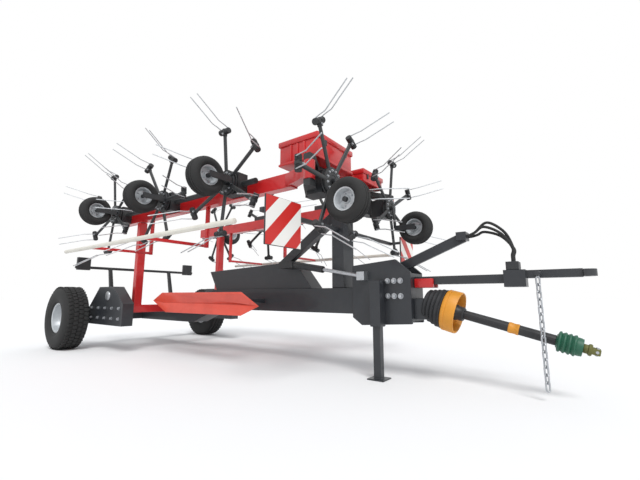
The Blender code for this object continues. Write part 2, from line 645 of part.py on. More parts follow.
def add_rotor(name, carrier, place, phase, solids):
    """A rotor and the empty on its spin axis."""
    spin = joint_empty("axis_" + name, carrier, place.translation)
    turn = place @ Matrix.Rotation(radians(phase), 4, "Z")
    node(name, spin, [copies(solid, [turn])[0] for solid in solids], "arm_grey")


def add_gauge_wheel(name, carrier, place, wheel_x, wheel_y):
    """A gauge wheel and the empty on its axle."""
    centre = place @ Vector((wheel_x, wheel_y, GAUGE_DROP))
    spin = joint_empty("axis_" + name, carrier, centre)
    node(name, spin, [gauge_wheel(place, wheel_x, wheel_y)], "tyre_rubber")


def build_wing(root, side, rotor):
    """One folded wing: beam, drive, guard bar, rotors and gauge wheels."""
    label = side_name(side)
    wing = joint_empty("axis_wing_" + label, root, (HINGE_X, side * HINGE_Y, HUB_Z))
    beam = side_box(side, (WING_BEAM_REAR_X, WING_BEAM_FRONT_X),
                    (WING_BEAM_IN, WING_BEAM_OUT), (WING_BEAM_LOW, WING_BEAM_TOP))
    inner, outer = side * (WING_BEAM_IN + 0.01), side * (WING_BEAM_OUT - 0.01)
    link = slab([(WING_BEAM_FRONT_X - 0.10, inner), (WING_BEAM_FRONT_X, inner),
                 (HINGE_X, side * (HINGE_Y - EAR_SPREAD)), (HINGE_X, side * (HINGE_Y + EAR_SPREAD)),
                 (WING_BEAM_FRONT_X - 0.10, outer)], WING_BEAM_LOW + 0.01, WING_BEAM_TOP - 0.01)
    knuckle = rod((HINGE_X, side * HINGE_Y, WING_BEAM_LOW - HINGE_CLEAR + FIT),
                  (HINGE_X, side * HINGE_Y, WING_BEAM_TOP + HINGE_CLEAR - FIT), KNUCKLE_RADIUS, 16)
    node("wing_beam_" + label, wing, [beam, link, knuckle], "frame_red")

    stations = [FIRST_WING_X - k * ROTOR_PITCH for k in range(WING_ROTORS)]
    shaft_y = side * (WING_BEAM_OUT + 0.06)
    gear_out = WING_PLANE_Y - BOSS_LENGTH - FIT
    drive = [rod((stations[-1], shaft_y, HUB_Z), (stations[0] + 0.30, shaft_y, HUB_Z), 0.03, 10)]
    for x in stations:
        drive.append(side_box(side, (x - GEARBOX_HALF, x + GEARBOX_HALF), (WING_BEAM_OUT + FIT, gear_out),
                              (HUB_Z - GEARBOX_HALF, HUB_Z + GEARBOX_HALF)))
        drive.extend(gauge_fork(wing_frame(side, x), 0.0, 0.0, 1, WING_FORK_LOW))
    node("wing_drive_" + label, wing, drive, "arm_grey")

    guard = [rod((GUARD_BAR_REAR_X, side * GUARD_BAR_Y, GUARD_BAR_Z),
                 (GUARD_BAR_FRONT_X, side * GUARD_BAR_Y, GUARD_BAR_Z), GUARD_BAR_RADIUS, 12)]
    for k in range(WING_ROTORS - 1):
        x = (stations[k] + stations[k + 1]) / 2
        guard.append(side_box(side, (x - 0.02, x + 0.02), (WING_BEAM_IN + 0.03, WING_BEAM_OUT - 0.03),
                              (GUARD_BAR_Z - 0.02, WING_BEAM_LOW - FIT)))
        guard.append(side_box(side, (x - 0.018, x + 0.018), (WING_BEAM_IN + 0.04, GUARD_BAR_Y),
                              (GUARD_BAR_Z - 0.018, GUARD_BAR_Z + 0.018)))
    node("guard_bar_" + label, wing, guard, "bar_white")

    for k, x in enumerate(stations):
        phase = 30 if k % 2 == 0 else 0
        if side > 0:
            phase = 30 - phase
        place = wing_frame(side, x)
        add_rotor(f"rotor_{label}_{k + 1}", wing, place, phase, rotor)
        add_gauge_wheel(f"gauge_wheel_{label}_{k + 1}", wing, place, 0.0, 0.0)


def build_middle(root, rotor):
    """The two middle rotors and their gauge wheels."""
    for side, phase in ((-1, 0), (1, 30)):
        place = middle_frame(side)
        label = "centre_" + side_name(side)
        add_rotor("rotor_" + label, root, place, phase, rotor)
        add_gauge_wheel("gauge_wheel_" + label, root, place, side * MIDDLE_WHEEL_OUT, MIDDLE_WHEEL_RISE)


def build_road_wheels(root):
    """Road tyre and rim on each side."""
    for side in (-1, 1):
        centre = Vector((0, side * WHEEL_Y, WHEEL_RADIUS))
        spin = joint_empty("axis_wheel_" + side_name(side), root, centre)
        place = Matrix.Translation(centre) @ Matrix.Rotation(-side * pi / 2, 4, "X")
        half = WHEEL_WIDTH / 2
        tyre = [(RIM_RADIUS + FIT, -0.12), (0.28, -half), (0.36, -half + 0.005), (0.405, -0.12),
                (WHEEL_RADIUS, -0.085), (WHEEL_RADIUS, 0.085), (0.405, 0.12), (0.36, half - 0.005),
                (0.28, half), (RIM_RADIUS + FIT, 0.12)]
        node("tyre_" + side_name(side), spin, [turned(tyre, 24, place, closed=True)], "tyre_rubber")
        rim = [(0, -RIM_HUB), (0.10, -RIM_HUB), (0.15, -0.02), (0.17, -0.115), (RIM_RADIUS, -0.118),
               (RIM_RADIUS, 0.118), (0.18, 0.115), (0.16, 0.01), (0.07, 0.05), (0, 0.05)]
        node("rim_" + side_name(side), spin, [turned(rim, 24, place)], "rim_silver")


# ------------------------------------------------------------------------ hoses and chain
def smooth_route(points, steps):
    """A Catmull-Rom curve through the chosen points, straight on its first and last stretch."""
    pts = [Vector(p) for p in points]
    route = [pts[0]]
    for a, b, c, d in zip(pts, pts[1:], pts[2:], pts[3:]):
        for k in range(steps):
            t = k / steps
            route.append(0.5 * ((2 * b) + (c - a) * t + (2 * a - 5 * b + 4 * c - d) * t * t
                                + (3 * b - a - 3 * c + d) * t ** 3))
    return route + [pts[-2], pts[-1]]


def hose_points(y, crest, reach):
    """Chosen points of a stiff hose from the arm's clamp over to the coupler block."""
    x = CLAMP_X + FIT
    return [(x, y, CLAMP_Z), (x + 0.02, y, CLAMP_Z), (x + 0.07, y, CLAMP_Z + 0.35 * crest),
            (x + reach - 0.06, y, CLAMP_Z + crest), (x + reach + 0.06, y, CLAMP_Z + 0.4 * crest - 0.03),
            (COUPLER_X + 0.005, y, COUPLER_TOP + 0.11), (COUPLER_X, y, COUPLER_TOP + 0.05),
            (COUPLER_X, y, COUPLER_TOP + 0.02), (COUPLER_X, y, COUPLER_TOP + FIT)]


def build_hoses(root):
    """Hose arm with its clamp, the coupler block and the hoses between them."""
    foot = box((4.36, -0.014, BEAM_TOP + FIT), (4.44, 0.014, 0.98))
    arm = flat_bar((4.38, 0, 0.945), (5.05, 0, 1.215), (0, 1, 0), 0.03, 0.085)
    clamp = box((5.00, -0.06, CLAMP_Z - 0.035), (CLAMP_X, 0.06, CLAMP_Z + 0.035))
    node("hose_arm", root, [arm, foot, clamp], "chassis_grey")
    block = box((COUPLER_X - 0.05, -0.065, HITCH_TOP + FIT), (COUPLER_X + 0.04, 0.065, COUPLER_TOP))
    node("coupler_block", root, [block], "arm_grey")
    for name, y, crest, reach in HOSES:
        route = smooth_route(hose_points(y, crest, reach), 3)
        curve = bpy.data.curves.new(name, "CURVE")
        curve.dimensions = "3D"
        curve.bevel_depth = HOSE_RADIUS
        curve.bevel_resolution = 2
        curve.use_fill_caps = True
        spline = curve.splines.new("POLY")
        spline.points.add(len(route) - 1)
        for point, place in zip(spline.points, route):
            point.co = (*(place - Vector(root["pivot"])), 1.0)
        curve.materials.append(material("tube_black"))
        made = bpy.data.objects.new(name, curve)
        bpy.context.scene.collection.objects.link(made)
        made.parent = root


def build_chain(root):
    """Safety chain hanging from the tongue, each link turned a quarter from the last."""
    solids = []
    count = int((CHAIN_TOP - CHAIN_LOW) / (LINK_LENGTH * 0.8))
    step = (CHAIN_TOP - CHAIN_LOW - LINK_LENGTH) / (count - 1)
    for k in range(count):
        top = CHAIN_TOP - k * step
        half_x, half_y = (LINK_WIDE, LINK_THIN) if k % 2 else (LINK_THIN, LINK_WIDE)
        solids.append(box((CHAIN_X - half_x, CHAIN_Y - half_y, top - LINK_LENGTH),
                          (CHAIN_X + half_x, CHAIN_Y + half_y, top)))
    node("safety_chain", root, solids, "zinc")


def main():
    """Clear the file and build the machine."""
    for old in list(bpy.data.objects):
        bpy.data.objects.remove(old, do_unlink=True)
    root = joint_empty("machine", None, (0, 0, 0))
    root.location = (MACHINE_X, 0, 0)
    leg_body = joint_empty("axis_stand", root, (LEG_X, LEG_Y, 0))
    yoke_body = joint_empty("axis_pto", root, PTO_START)
    build_chassis(root)
    build_stand(root, leg_body)
    build_drawbar(root)
    build_pto(root, yoke_body)
    build_tower(root)
    rotor = rotor_solids()
    build_middle(root, rotor)
    for side in (-1, 1):
        build_wing(root, side, rotor)
    build_road_wheels(root)
    build_hoses(root)
    build_chain(root)


main()
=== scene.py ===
"""Looks of the trailed hay tedder: finishes, tyres, rotors with spring tines, hoses, chain and trim."""
import json
import logging
from dataclasses import dataclass
from enum import Enum
from math import cos, pi, radians, sin
from typing import Iterable, Optional, Sequence

import bpy
from mathutils import Matrix, Vector


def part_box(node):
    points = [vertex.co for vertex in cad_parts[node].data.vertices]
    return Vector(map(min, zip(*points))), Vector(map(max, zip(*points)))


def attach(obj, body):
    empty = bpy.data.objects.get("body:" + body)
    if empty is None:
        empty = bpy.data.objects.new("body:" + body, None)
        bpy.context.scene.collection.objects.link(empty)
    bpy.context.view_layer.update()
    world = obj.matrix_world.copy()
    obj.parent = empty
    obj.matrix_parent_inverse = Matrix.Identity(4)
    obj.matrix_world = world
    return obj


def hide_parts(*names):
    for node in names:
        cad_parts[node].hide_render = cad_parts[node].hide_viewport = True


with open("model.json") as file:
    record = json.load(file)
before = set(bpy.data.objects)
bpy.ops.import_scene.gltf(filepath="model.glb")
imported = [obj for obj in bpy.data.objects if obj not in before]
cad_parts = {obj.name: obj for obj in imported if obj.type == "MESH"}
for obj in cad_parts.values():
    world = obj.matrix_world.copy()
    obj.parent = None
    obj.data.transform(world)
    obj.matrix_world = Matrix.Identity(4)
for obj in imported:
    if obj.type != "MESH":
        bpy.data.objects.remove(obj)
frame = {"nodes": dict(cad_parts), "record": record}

logging.basicConfig(level=logging.INFO, format="%(message)s")
LOG = logging.getLogger("tedder")

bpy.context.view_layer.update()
RECORD = frame["record"]
JOINTS = {joint["child"]: joint for joint in RECORD["behaviour"]["joints"]}
RATIOS = {link["joint"]: link["ratio"] for link in RECORD["behaviour"]["couplings"]}
SIDES = (("right", -1), ("left", 1))
AXLE_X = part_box("tyre_right")[0][0] + (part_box("tyre_right")[1][0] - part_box("tyre_right")[0][0]) / 2


class Slot(Enum):
    """The record's material slots."""
    CHASSIS = "chassis_paint"
    ARM = "arm_paint"
    RED = "red_paint"
    GUARD = "guard_paint"
    LAMP = "lamp_plastic"
    ZINC = "zinc_steel"
    CONE = "cone_plastic"
    BLACK = "black_plastic"
    GREEN = "green_plastic"
    OLIVE = "olive_paint"
    BOARD = "board_paint"
    BAR = "bar_paint"
    TYRE = "tyre_rubber"
    RIM = "rim_paint"
    HOSE = "hose_rubber"


# ------------------------------------------------------------------------------ finishes
def linear(code: str) -> tuple[float, float, float, float]:
    """Turn an sRGB hex code into linear colour.

    Args:
        code: six hex digits.

    Returns:
        Red, green, blue and alpha.
    """
    parts = [int(code[i:i + 2], 16) / 255 for i in (0, 2, 4)]
    return (*[p / 12.92 if p <= 0.04045 else ((p + 0.055) / 1.055) ** 2.4 for p in parts], 1.0)


def add_node(tree: bpy.types.NodeTree, kind: str, settings: Optional[dict] = None,
             links: Optional[dict] = None) -> bpy.types.Node:
    """Add one shader node.

    Args:
        tree: the material's node tree.
        kind: the node's type name.
        settings: attribute or input names with their values.
        links: input names with the output sockets that feed them.

    Returns:
        The new node.
    """
    node = tree.nodes.new(kind)
    for name, value in (settings or {}).items():
        if isinstance(name, str) and hasattr(node, name):
            setattr(node, name, value)
        else:
            node.inputs[name].default_value = value
    for name, socket in (links or {}).items():
        tree.links.new(socket, node.inputs[name])
    return node


@dataclass(frozen=True)
class Finish:
    """A painted, moulded or bare surface with mottle, grime and a fine bump."""
    name: str
    colour: str
    soiled: str
    roughness: float
    metallic: float = 0.0
    patch_mm: float = 180.0     # size of the faint colour patches
    soil: float = 0.35          # how far the patches go towards the soiled colour
    grain_mm: float = 3.0       # orange peel, mould grain or rubber skin
    grain: float = 0.06
    coat: float = 0.0

    def build(self) -> bpy.types.Material:
        """Make the material, or find it if it is already made."""
        if self.name in bpy.data.materials:
            return bpy.data.materials[self.name]
        made = bpy.data.materials.new(self.name)
        made.use_nodes = True
        tree = made.node_tree
        shader = tree.nodes["Principled BSDF"]
        shader.inputs["Metallic"].default_value = self.metallic
        shader.inputs["Coat Weight"].default_value = self.coat
        where = add_node(tree, "ShaderNodeTexCoord").outputs["Object"]
        patches = add_node(tree, "ShaderNodeTexNoise",
                           {"Scale": 1000 / self.patch_mm, "Detail": 6.0, "Roughness": 0.65}, {"Vector": where})
        spread = add_node(tree, "ShaderNodeMapRange",
                          {"From Min": 0.42, "From Max": 0.72, "To Max": self.soil},
                          {"Value": patches.outputs["Fac"]})
        base = add_node(tree, "ShaderNodeMix",
                        {"data_type": "RGBA", 6: linear(self.colour), 7: linear(self.soiled)},
                        {0: spread.outputs["Result"]})
        tree.links.new(base.outputs[2], shader.inputs["Base Color"])
        rough = add_node(tree, "ShaderNodeMapRange",
                         {"To Min": self.roughness - 0.06, "To Max": self.roughness + 0.12},
                         {"Value": patches.outputs["Fac"]})
        tree.links.new(rough.outputs["Result"], shader.inputs["Roughness"])
        grain = add_node(tree, "ShaderNodeTexNoise", {"Scale": 1000 / self.grain_mm, "Detail": 3.0},
                         {"Vector": where})
        bump = add_node(tree, "ShaderNodeBump", {"Strength": self.grain, "Distance": 0.002},
                        {"Height": grain.outputs["Fac"]})
        tree.links.new(bump.outputs["Normal"], shader.inputs["Normal"])
        return made


# chassis: slate-grey two-pack enamel, sprayed; a soft sheen with patches of dust
CHASSIS = Finish("slate_enamel", "25282D", "3C3D3D", 0.42, patch_mm=260, coat=0.15)
# rotor arms and gearboxes: satin powder coat, nearly black
ARM = Finish("charcoal_powder_coat", "26282B", "45443F", 0.48, patch_mm=120)
# wings, tower and covers: gloss machinery enamel, signal red
RED = Finish("red_enamel", "C41E20", "8A1518", 0.33, patch_mm=300, soil=0.45, coat=0.35)
# side guards: thinner, more orange enamel
GUARD = Finish("orange_red_enamel", "DC4A34", "B23222", 0.38, patch_mm=240, soil=0.4, coat=0.25)
# lamps, hose sleeves and shaft tube: moulded polypropylene, black
BLACK = Finish("black_polypropylene", "202124", "3A3A39", 0.48, patch_mm=90)
# shaft cone: moulded polyethylene, yellow-orange
CONE = Finish("yellow_polyethylene", "D9922B", "A8711F", 0.46, patch_mm=70)
# shaft end guard: moulded polyethylene, green
GREEN = Finish("green_polyethylene", "1F5A43", "35564A", 0.46, patch_mm=60)
# yoke: forging left in olive primer
OLIVE = Finish("olive_forging", "6A6A3A", "4C4A30", 0.50, metallic=0.3, patch_mm=40)
# chain, rods, bolts: zinc-plated steel
ZINC = Finish("zinc_plate", "B9BCC0", "8C8E90", 0.34, metallic=0.9, patch_mm=30, grain_mm=1.5)
# tines: sprung steel, shot-peened and lacquered pale grey
TINE = Finish("sprung_steel", "C2C5C8", "8F9296", 0.40, metallic=0.55, patch_mm=60, grain_mm=1.5)
# spring coils: the same steel under black lacquer
COIL = Finish("black_spring_lacquer", "2A2B2D", "4A4A48", 0.42, metallic=0.3, patch_mm=30, grain_mm=1.5)
# shaft bell: black rubber
BELL = Finish("black_rubber_bell", "232427", "3B3B3B", 0.62, patch_mm=60, grain_mm=2.0)
# rims: silver wheel enamel
RIM = Finish("silver_wheel_enamel", "BFC3C6", "93979A", 0.36, metallic=0.35, patch_mm=80)
# tyres: black rubber greyed by dust
RUBBER = Finish("tyre_rubber", "434547", "6A6B6A", 0.82, patch_mm=60, soil=0.55, grain_mm=2.0, grain=0.12)
HOSE = Finish("hose_rubber", "1B1C1E", "303133", 0.55, patch_mm=40, grain_mm=1.5)
BAR = Finish("pale_enamel", "D9D6CC", "B5B1A4", 0.44, patch_mm=150)
LENS = Finish("red_lens", "A8140F", "7A0D0B", 0.20, patch_mm=20, coat=0.8)
FINISH_OF_SLOT = {Slot.CHASSIS: CHASSIS, Slot.ARM: ARM, Slot.RED: RED, Slot.GUARD: GUARD, Slot.LAMP: BLACK,
                  Slot.ZINC: ZINC, Slot.CONE: CONE, Slot.BLACK: BLACK, Slot.GREEN: GREEN, Slot.OLIVE: OLIVE,
                  Slot.BOARD: CHASSIS, Slot.BAR: BAR, Slot.TYRE: RUBBER, Slot.RIM: RIM, Slot.HOSE: HOSE}


@dataclass(frozen=True)
class Stripes:
    """Retroreflective sheeting: diagonal red and white stripes, 100 mm wide."""
    name: str
    slope: int
    width_mm: float = 100.0

    def build(self) -> bpy.types.Material:
        """Make the striped material."""
        made = bpy.data.materials.new(self.name)
        made.use_nodes = True
        tree = made.node_tree
        shader = tree.nodes["Principled BSDF"]
        shader.inputs["Roughness"].default_value = 0.32
        where = add_node(tree, "ShaderNodeTexCoord").outputs["Object"]
        parts = add_node(tree, "ShaderNodeSeparateXYZ", links={"Vector": where})
        sloped = add_node(tree, "ShaderNodeMath", {"operation": "MULTIPLY", 1: float(self.slope)},
                          {0: parts.outputs["Y"]})
        across = add_node(tree, "ShaderNodeMath", {"operation": "ADD"},
                          {0: sloped.outputs[0], 1: parts.outputs["Z"]})
        cycle = 2 * self.width_mm / 1000 * 2 ** 0.5
        turns = add_node(tree, "ShaderNodeMath", {"operation": "DIVIDE", 1: cycle}, {0: across.outputs[0]})
        part = add_node(tree, "ShaderNodeMath", {"operation": "FRACT"}, {0: turns.outputs[0]})
        red = add_node(tree, "ShaderNodeMath", {"operation": "GREATER_THAN", 1: 0.5}, {0: part.outputs[0]})
        base = add_node(tree, "ShaderNodeMix",
                        {"data_type": "RGBA", 6: linear("E9E7E2"), 7: linear("C4231D")}, {0: red.outputs[0]})
        tree.links.new(base.outputs[2], shader.inputs["Base Color"])
        cells = add_node(tree, "ShaderNodeTexVoronoi", {"Scale": 250.0}, {"Vector": where})
        bump = add_node(tree, "ShaderNodeBump", {"Strength": 0.05, "Distance": 0.001},
                        {"Height": cells.outputs["Distance"]})
        tree.links.new(bump.outputs["Normal"], shader.inputs["Normal"])
        return made


# ----------------------------------------------------------------------------- modelling
def clear_selection() -> None:
    """Deselect everything, so that an operator acts on the new piece only."""
    for chosen in list(bpy.context.selected_objects):
        chosen.select_set(False)


def only(piece: bpy.types.Object) -> None:
    """Make one piece the selected and active one."""
    clear_selection()
    piece.select_set(True)
    bpy.context.view_layer.objects.active = piece


def dress(piece: bpy.types.Object, finish: Finish) -> bpy.types.Object:
    """Give a piece one material."""
    piece.data.materials.clear()
    piece.data.materials.append(finish.build())
    return piece


def settle(piece: bpy.types.Object, matrix: Optional[Matrix] = None) -> bpy.types.Object:
    """Put a piece in place and write the place into its mesh.

    Args:
        piece: the piece.
        matrix: where it goes, counted from where it is.

    Returns:
        The piece, with its object at the origin.
    """
    if matrix is not None:
        piece.matrix_world = matrix @ piece.matrix_world
    only(piece)
    bpy.ops.object.transform_apply(location=True, rotation=True, scale=True)
    return piece


def bevel(piece: bpy.types.Object, width: float, segments: int = 2) -> bpy.types.Object:
    """Round a piece's sharp edges."""
    only(piece)
    modifier = piece.modifiers.new("Edges", "BEVEL")
    modifier.width = width
    modifier.segments = segments
    modifier.limit_method = "ANGLE"
    bpy.ops.object.modifier_apply(modifier=modifier.name)
    return piece


def smooth(piece: bpy.types.Object, angle: float = 35.0) -> bpy.types.Object:
    """Shade a piece smooth up to an angle."""
    only(piece)
    bpy.ops.object.shade_smooth_by_angle(angle=radians(angle))
    return piece


def block(low: Sequence[float], high: Sequence[float], round_edge: float = 0.004) -> bpy.types.Object:
    """A block between two corners with rounded edges.

    Args:
        low: lowest corner.
        high: highest corner.
        round_edge: bevel width in metres.

    Returns:
        The block.
    """
    low, high = Vector(low), Vector(high)
    clear_selection()
    bpy.ops.mesh.primitive_cube_add(size=1.0, location=(low + high) / 2)
    piece = bpy.context.object
    piece.scale = high - low
    settle(piece)
    return smooth(bevel(piece, round_edge)) if round_edge else piece


def bar(start: Sequence[float], end: Sequence[float], radius: float, sides: int = 20,
        end_radius: Optional[float] = None, round_edge: float = 0.0) -> bpy.types.Object:
    """A round bar between two points.

    Args:
        start: middle of the first end.
        end: middle of the other end.
        radius: radius at the start.
        sides: number of sides.
        end_radius: radius at the end, if it tapers.
        round_edge: bevel width in metres.

    Returns:
        The bar.
    """
    start, end = Vector(start), Vector(end)
    along = end - start
    clear_selection()
    bpy.ops.mesh.primitive_cone_add(vertices=sides, radius1=radius, radius2=end_radius or radius,
                                    depth=along.length)
    piece = bpy.context.object
    settle(piece, Matrix.Translation((start + end) / 2) @ along.to_track_quat("Z", "Y").to_matrix().to_4x4())
    if round_edge:
        bevel(piece, round_edge)
    return smooth(piece)


def lathe(profile: Sequence[Sequence[float]], steps: int, place: Matrix, closed: bool = False,
          angle: float = 35.0) -> bpy.types.Object:
    """Turn a profile about local Z.

    Args:
        profile: (radius, height) points.
        steps: number of steps in the full turn.
        place: where the turned piece goes.
        closed: join the last point to the first, for a ring.
        angle: sharpest angle that is still shaded smooth.

    Returns:
        The turned piece.
    """
    points = [Vector((radius, 0, height)) for radius, height in profile]
    if closed:
        points.append(points[0])
    clear_selection()
    bpy.ops.mesh.primitive_plane_add(size=0.01)
    piece = bpy.context.object
    bpy.ops.object.mode_set(mode="EDIT")
    bpy.ops.mesh.select_all(action="SELECT")
    bpy.ops.mesh.merge(type="CENTER")
    bpy.ops.transform.translate(value=points[0])
    for near, far in zip(points, points[1:]):
        bpy.ops.mesh.extrude_vertices_move(TRANSFORM_OT_translate={"value": far - near})
    bpy.ops.mesh.select_all(action="SELECT")
    bpy.ops.mesh.spin(steps=steps, angle=2 * pi, center=(0, 0, 0), axis=(0, 0, 1))
    bpy.ops.mesh.select_all(action="SELECT")
    bpy.ops.mesh.remove_doubles(threshold=0.00002)
    bpy.ops.mesh.normals_make_consistent(inside=False)
    bpy.ops.object.mode_set(mode="OBJECT")
    settle(piece, place)
    return smooth(piece, angle)


def wire(points: Sequence[Vector], radius: float, sides: int = 8) -> bpy.types.Object:
    """A wire bent through points, extruded one stretch at a time.

    Args:
        points: the wire's middle line.
        radius: wire radius.
        sides: sides of the wire.

    Returns:
        The wire.
    """
    points = [Vector(p) for p in points]
    turn = (points[-1] - points[0]).to_track_quat("Z", "Y").to_matrix().to_4x4()
    clear_selection()
    bpy.ops.mesh.primitive_circle_add(vertices=sides, radius=radius, fill_type="NGON")
    piece = bpy.context.object
    settle(piece, Matrix.Translation(points[0]) @ turn)
    bpy.ops.object.mode_set(mode="EDIT")
    bpy.ops.mesh.select_all(action="SELECT")
    for near, far in zip(points, points[1:]):
        bpy.ops.mesh.extrude_region_move(TRANSFORM_OT_translate={"value": far - near})
    bpy.ops.mesh.select_all(action="SELECT")
    bpy.ops.mesh.normals_make_consistent(inside=False)
    bpy.ops.object.mode_set(mode="OBJECT")
    return smooth(piece, 60)


def spring(start: Sequence[float], turns: float, radius: float, wire_radius: float,
           pitch: float) -> bpy.types.Object:
    """A coil spring along +Y, made by screwing a wire's section.

    Args:
        start: middle of the coil's first end.
        turns: number of turns.
        radius: coil radius at the wire's middle.
        wire_radius: wire radius.
        pitch: rise of each turn.

    Returns:
        The spring.
    """
    clear_selection()
    bpy.ops.mesh.primitive_circle_add(vertices=6, radius=wire_radius, location=(radius, 0, 0),
                                      rotation=(pi / 2, 0, 0))
    piece = bpy.context.object
    settle(piece)
    modifier = piece.modifiers.new("Coil", "SCREW")
    modifier.screw_offset = pitch
    modifier.iterations = int(turns)
    modifier.steps = modifier.render_steps = 14
    modifier.use_merge_vertices = False
    only(piece)
    bpy.ops.object.modifier_apply(modifier=modifier.name)
    bpy.ops.object.mode_set(mode="EDIT")
    bpy.ops.mesh.select_all(action="DESELECT")
    bpy.ops.mesh.select_non_manifold()
    bpy.ops.mesh.edge_face_add()
    bpy.ops.mesh.select_all(action="SELECT")
    bpy.ops.mesh.normals_make_consistent(inside=False)
    bpy.ops.object.mode_set(mode="OBJECT")
    return smooth(settle(piece, Matrix.Translation(Vector(start)) @ Matrix.Rotation(-pi / 2, 4, "X")), 60)


def copy_of(piece: bpy.types.Object, matrix: Matrix) -> bpy.types.Object:
    """A copy of a piece with its own mesh, moved by a matrix."""
    twin = piece.copy()
    twin.data = piece.data.copy()
    bpy.context.scene.collection.objects.link(twin)
    return settle(twin, matrix)


def join(name: str, pieces: Iterable[bpy.types.Object]) -> bpy.types.Object:
    """Join pieces to one named object.

    Args:
        name: its name.
        pieces: what to join.

    Returns:
        The joined piece.
    """
    pieces = list(pieces)
    clear_selection()
    for piece in pieces:
        piece.select_set(True)
    bpy.context.view_layer.objects.active = pieces[0]
    if len(pieces) > 1:
        bpy.ops.object.join()
    made = bpy.context.view_layer.objects.active
    made.name = made.data.name = name
    return made


def discard(*pieces: bpy.types.Object) -> None:
    """Remove pattern pieces that only served as a master."""
    for piece in pieces:
        bpy.data.objects.remove(piece, do_unlink=True)


def fit(piece: bpy.types.Object, body: str, slot: Slot, *nodes: str) -> bpy.types.Object:
    """Put a finished piece on its body.

    Args:
        piece: the piece.
        body: the body that carries it.
        slot: not used.
        nodes: the construction nodes that it stands for.

    Returns:
        The piece.
    """
    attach(piece, body)
    if nodes:
        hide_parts(*nodes)
    LOG.info("%s rides %s, %d faces", piece.name, body, len(getattr(piece.data, "polygons", ())))
    return piece


def hex_bolt(size: float = 0.024) -> bpy.types.Object:
    """A zinc hexagon head on its washer, standing along +Z from the origin."""
    head = bar((0, 0, 0.003), (0, 0, 0.003 + 0.55 * size), size / 2, 6, round_edge=0.001)
    washer = bar((0, 0, -0.001), (0, 0, 0.003), 0.68 * size, 18)
    return dress(join("bolt", [head, washer]), ZINC)


def axis_frame(joint: dict) -> Matrix:
    """Frame at a joint: local Z along its axis, local Y upwards.

    Args:
        joint: a joint of the record.

    Returns:
        The frame's matrix.
    """
    z_axis = Vector(joint["axis"]).normalized()
    y_axis = Vector((0, 0, 1))
    x_axis = y_axis.cross(z_axis).normalized()
    y_axis = z_axis.cross(x_axis)
    made = Matrix((x_axis, y_axis, z_axis)).transposed().to_4x4()
    made.translation = Vector(joint["pos_m"])
    return made


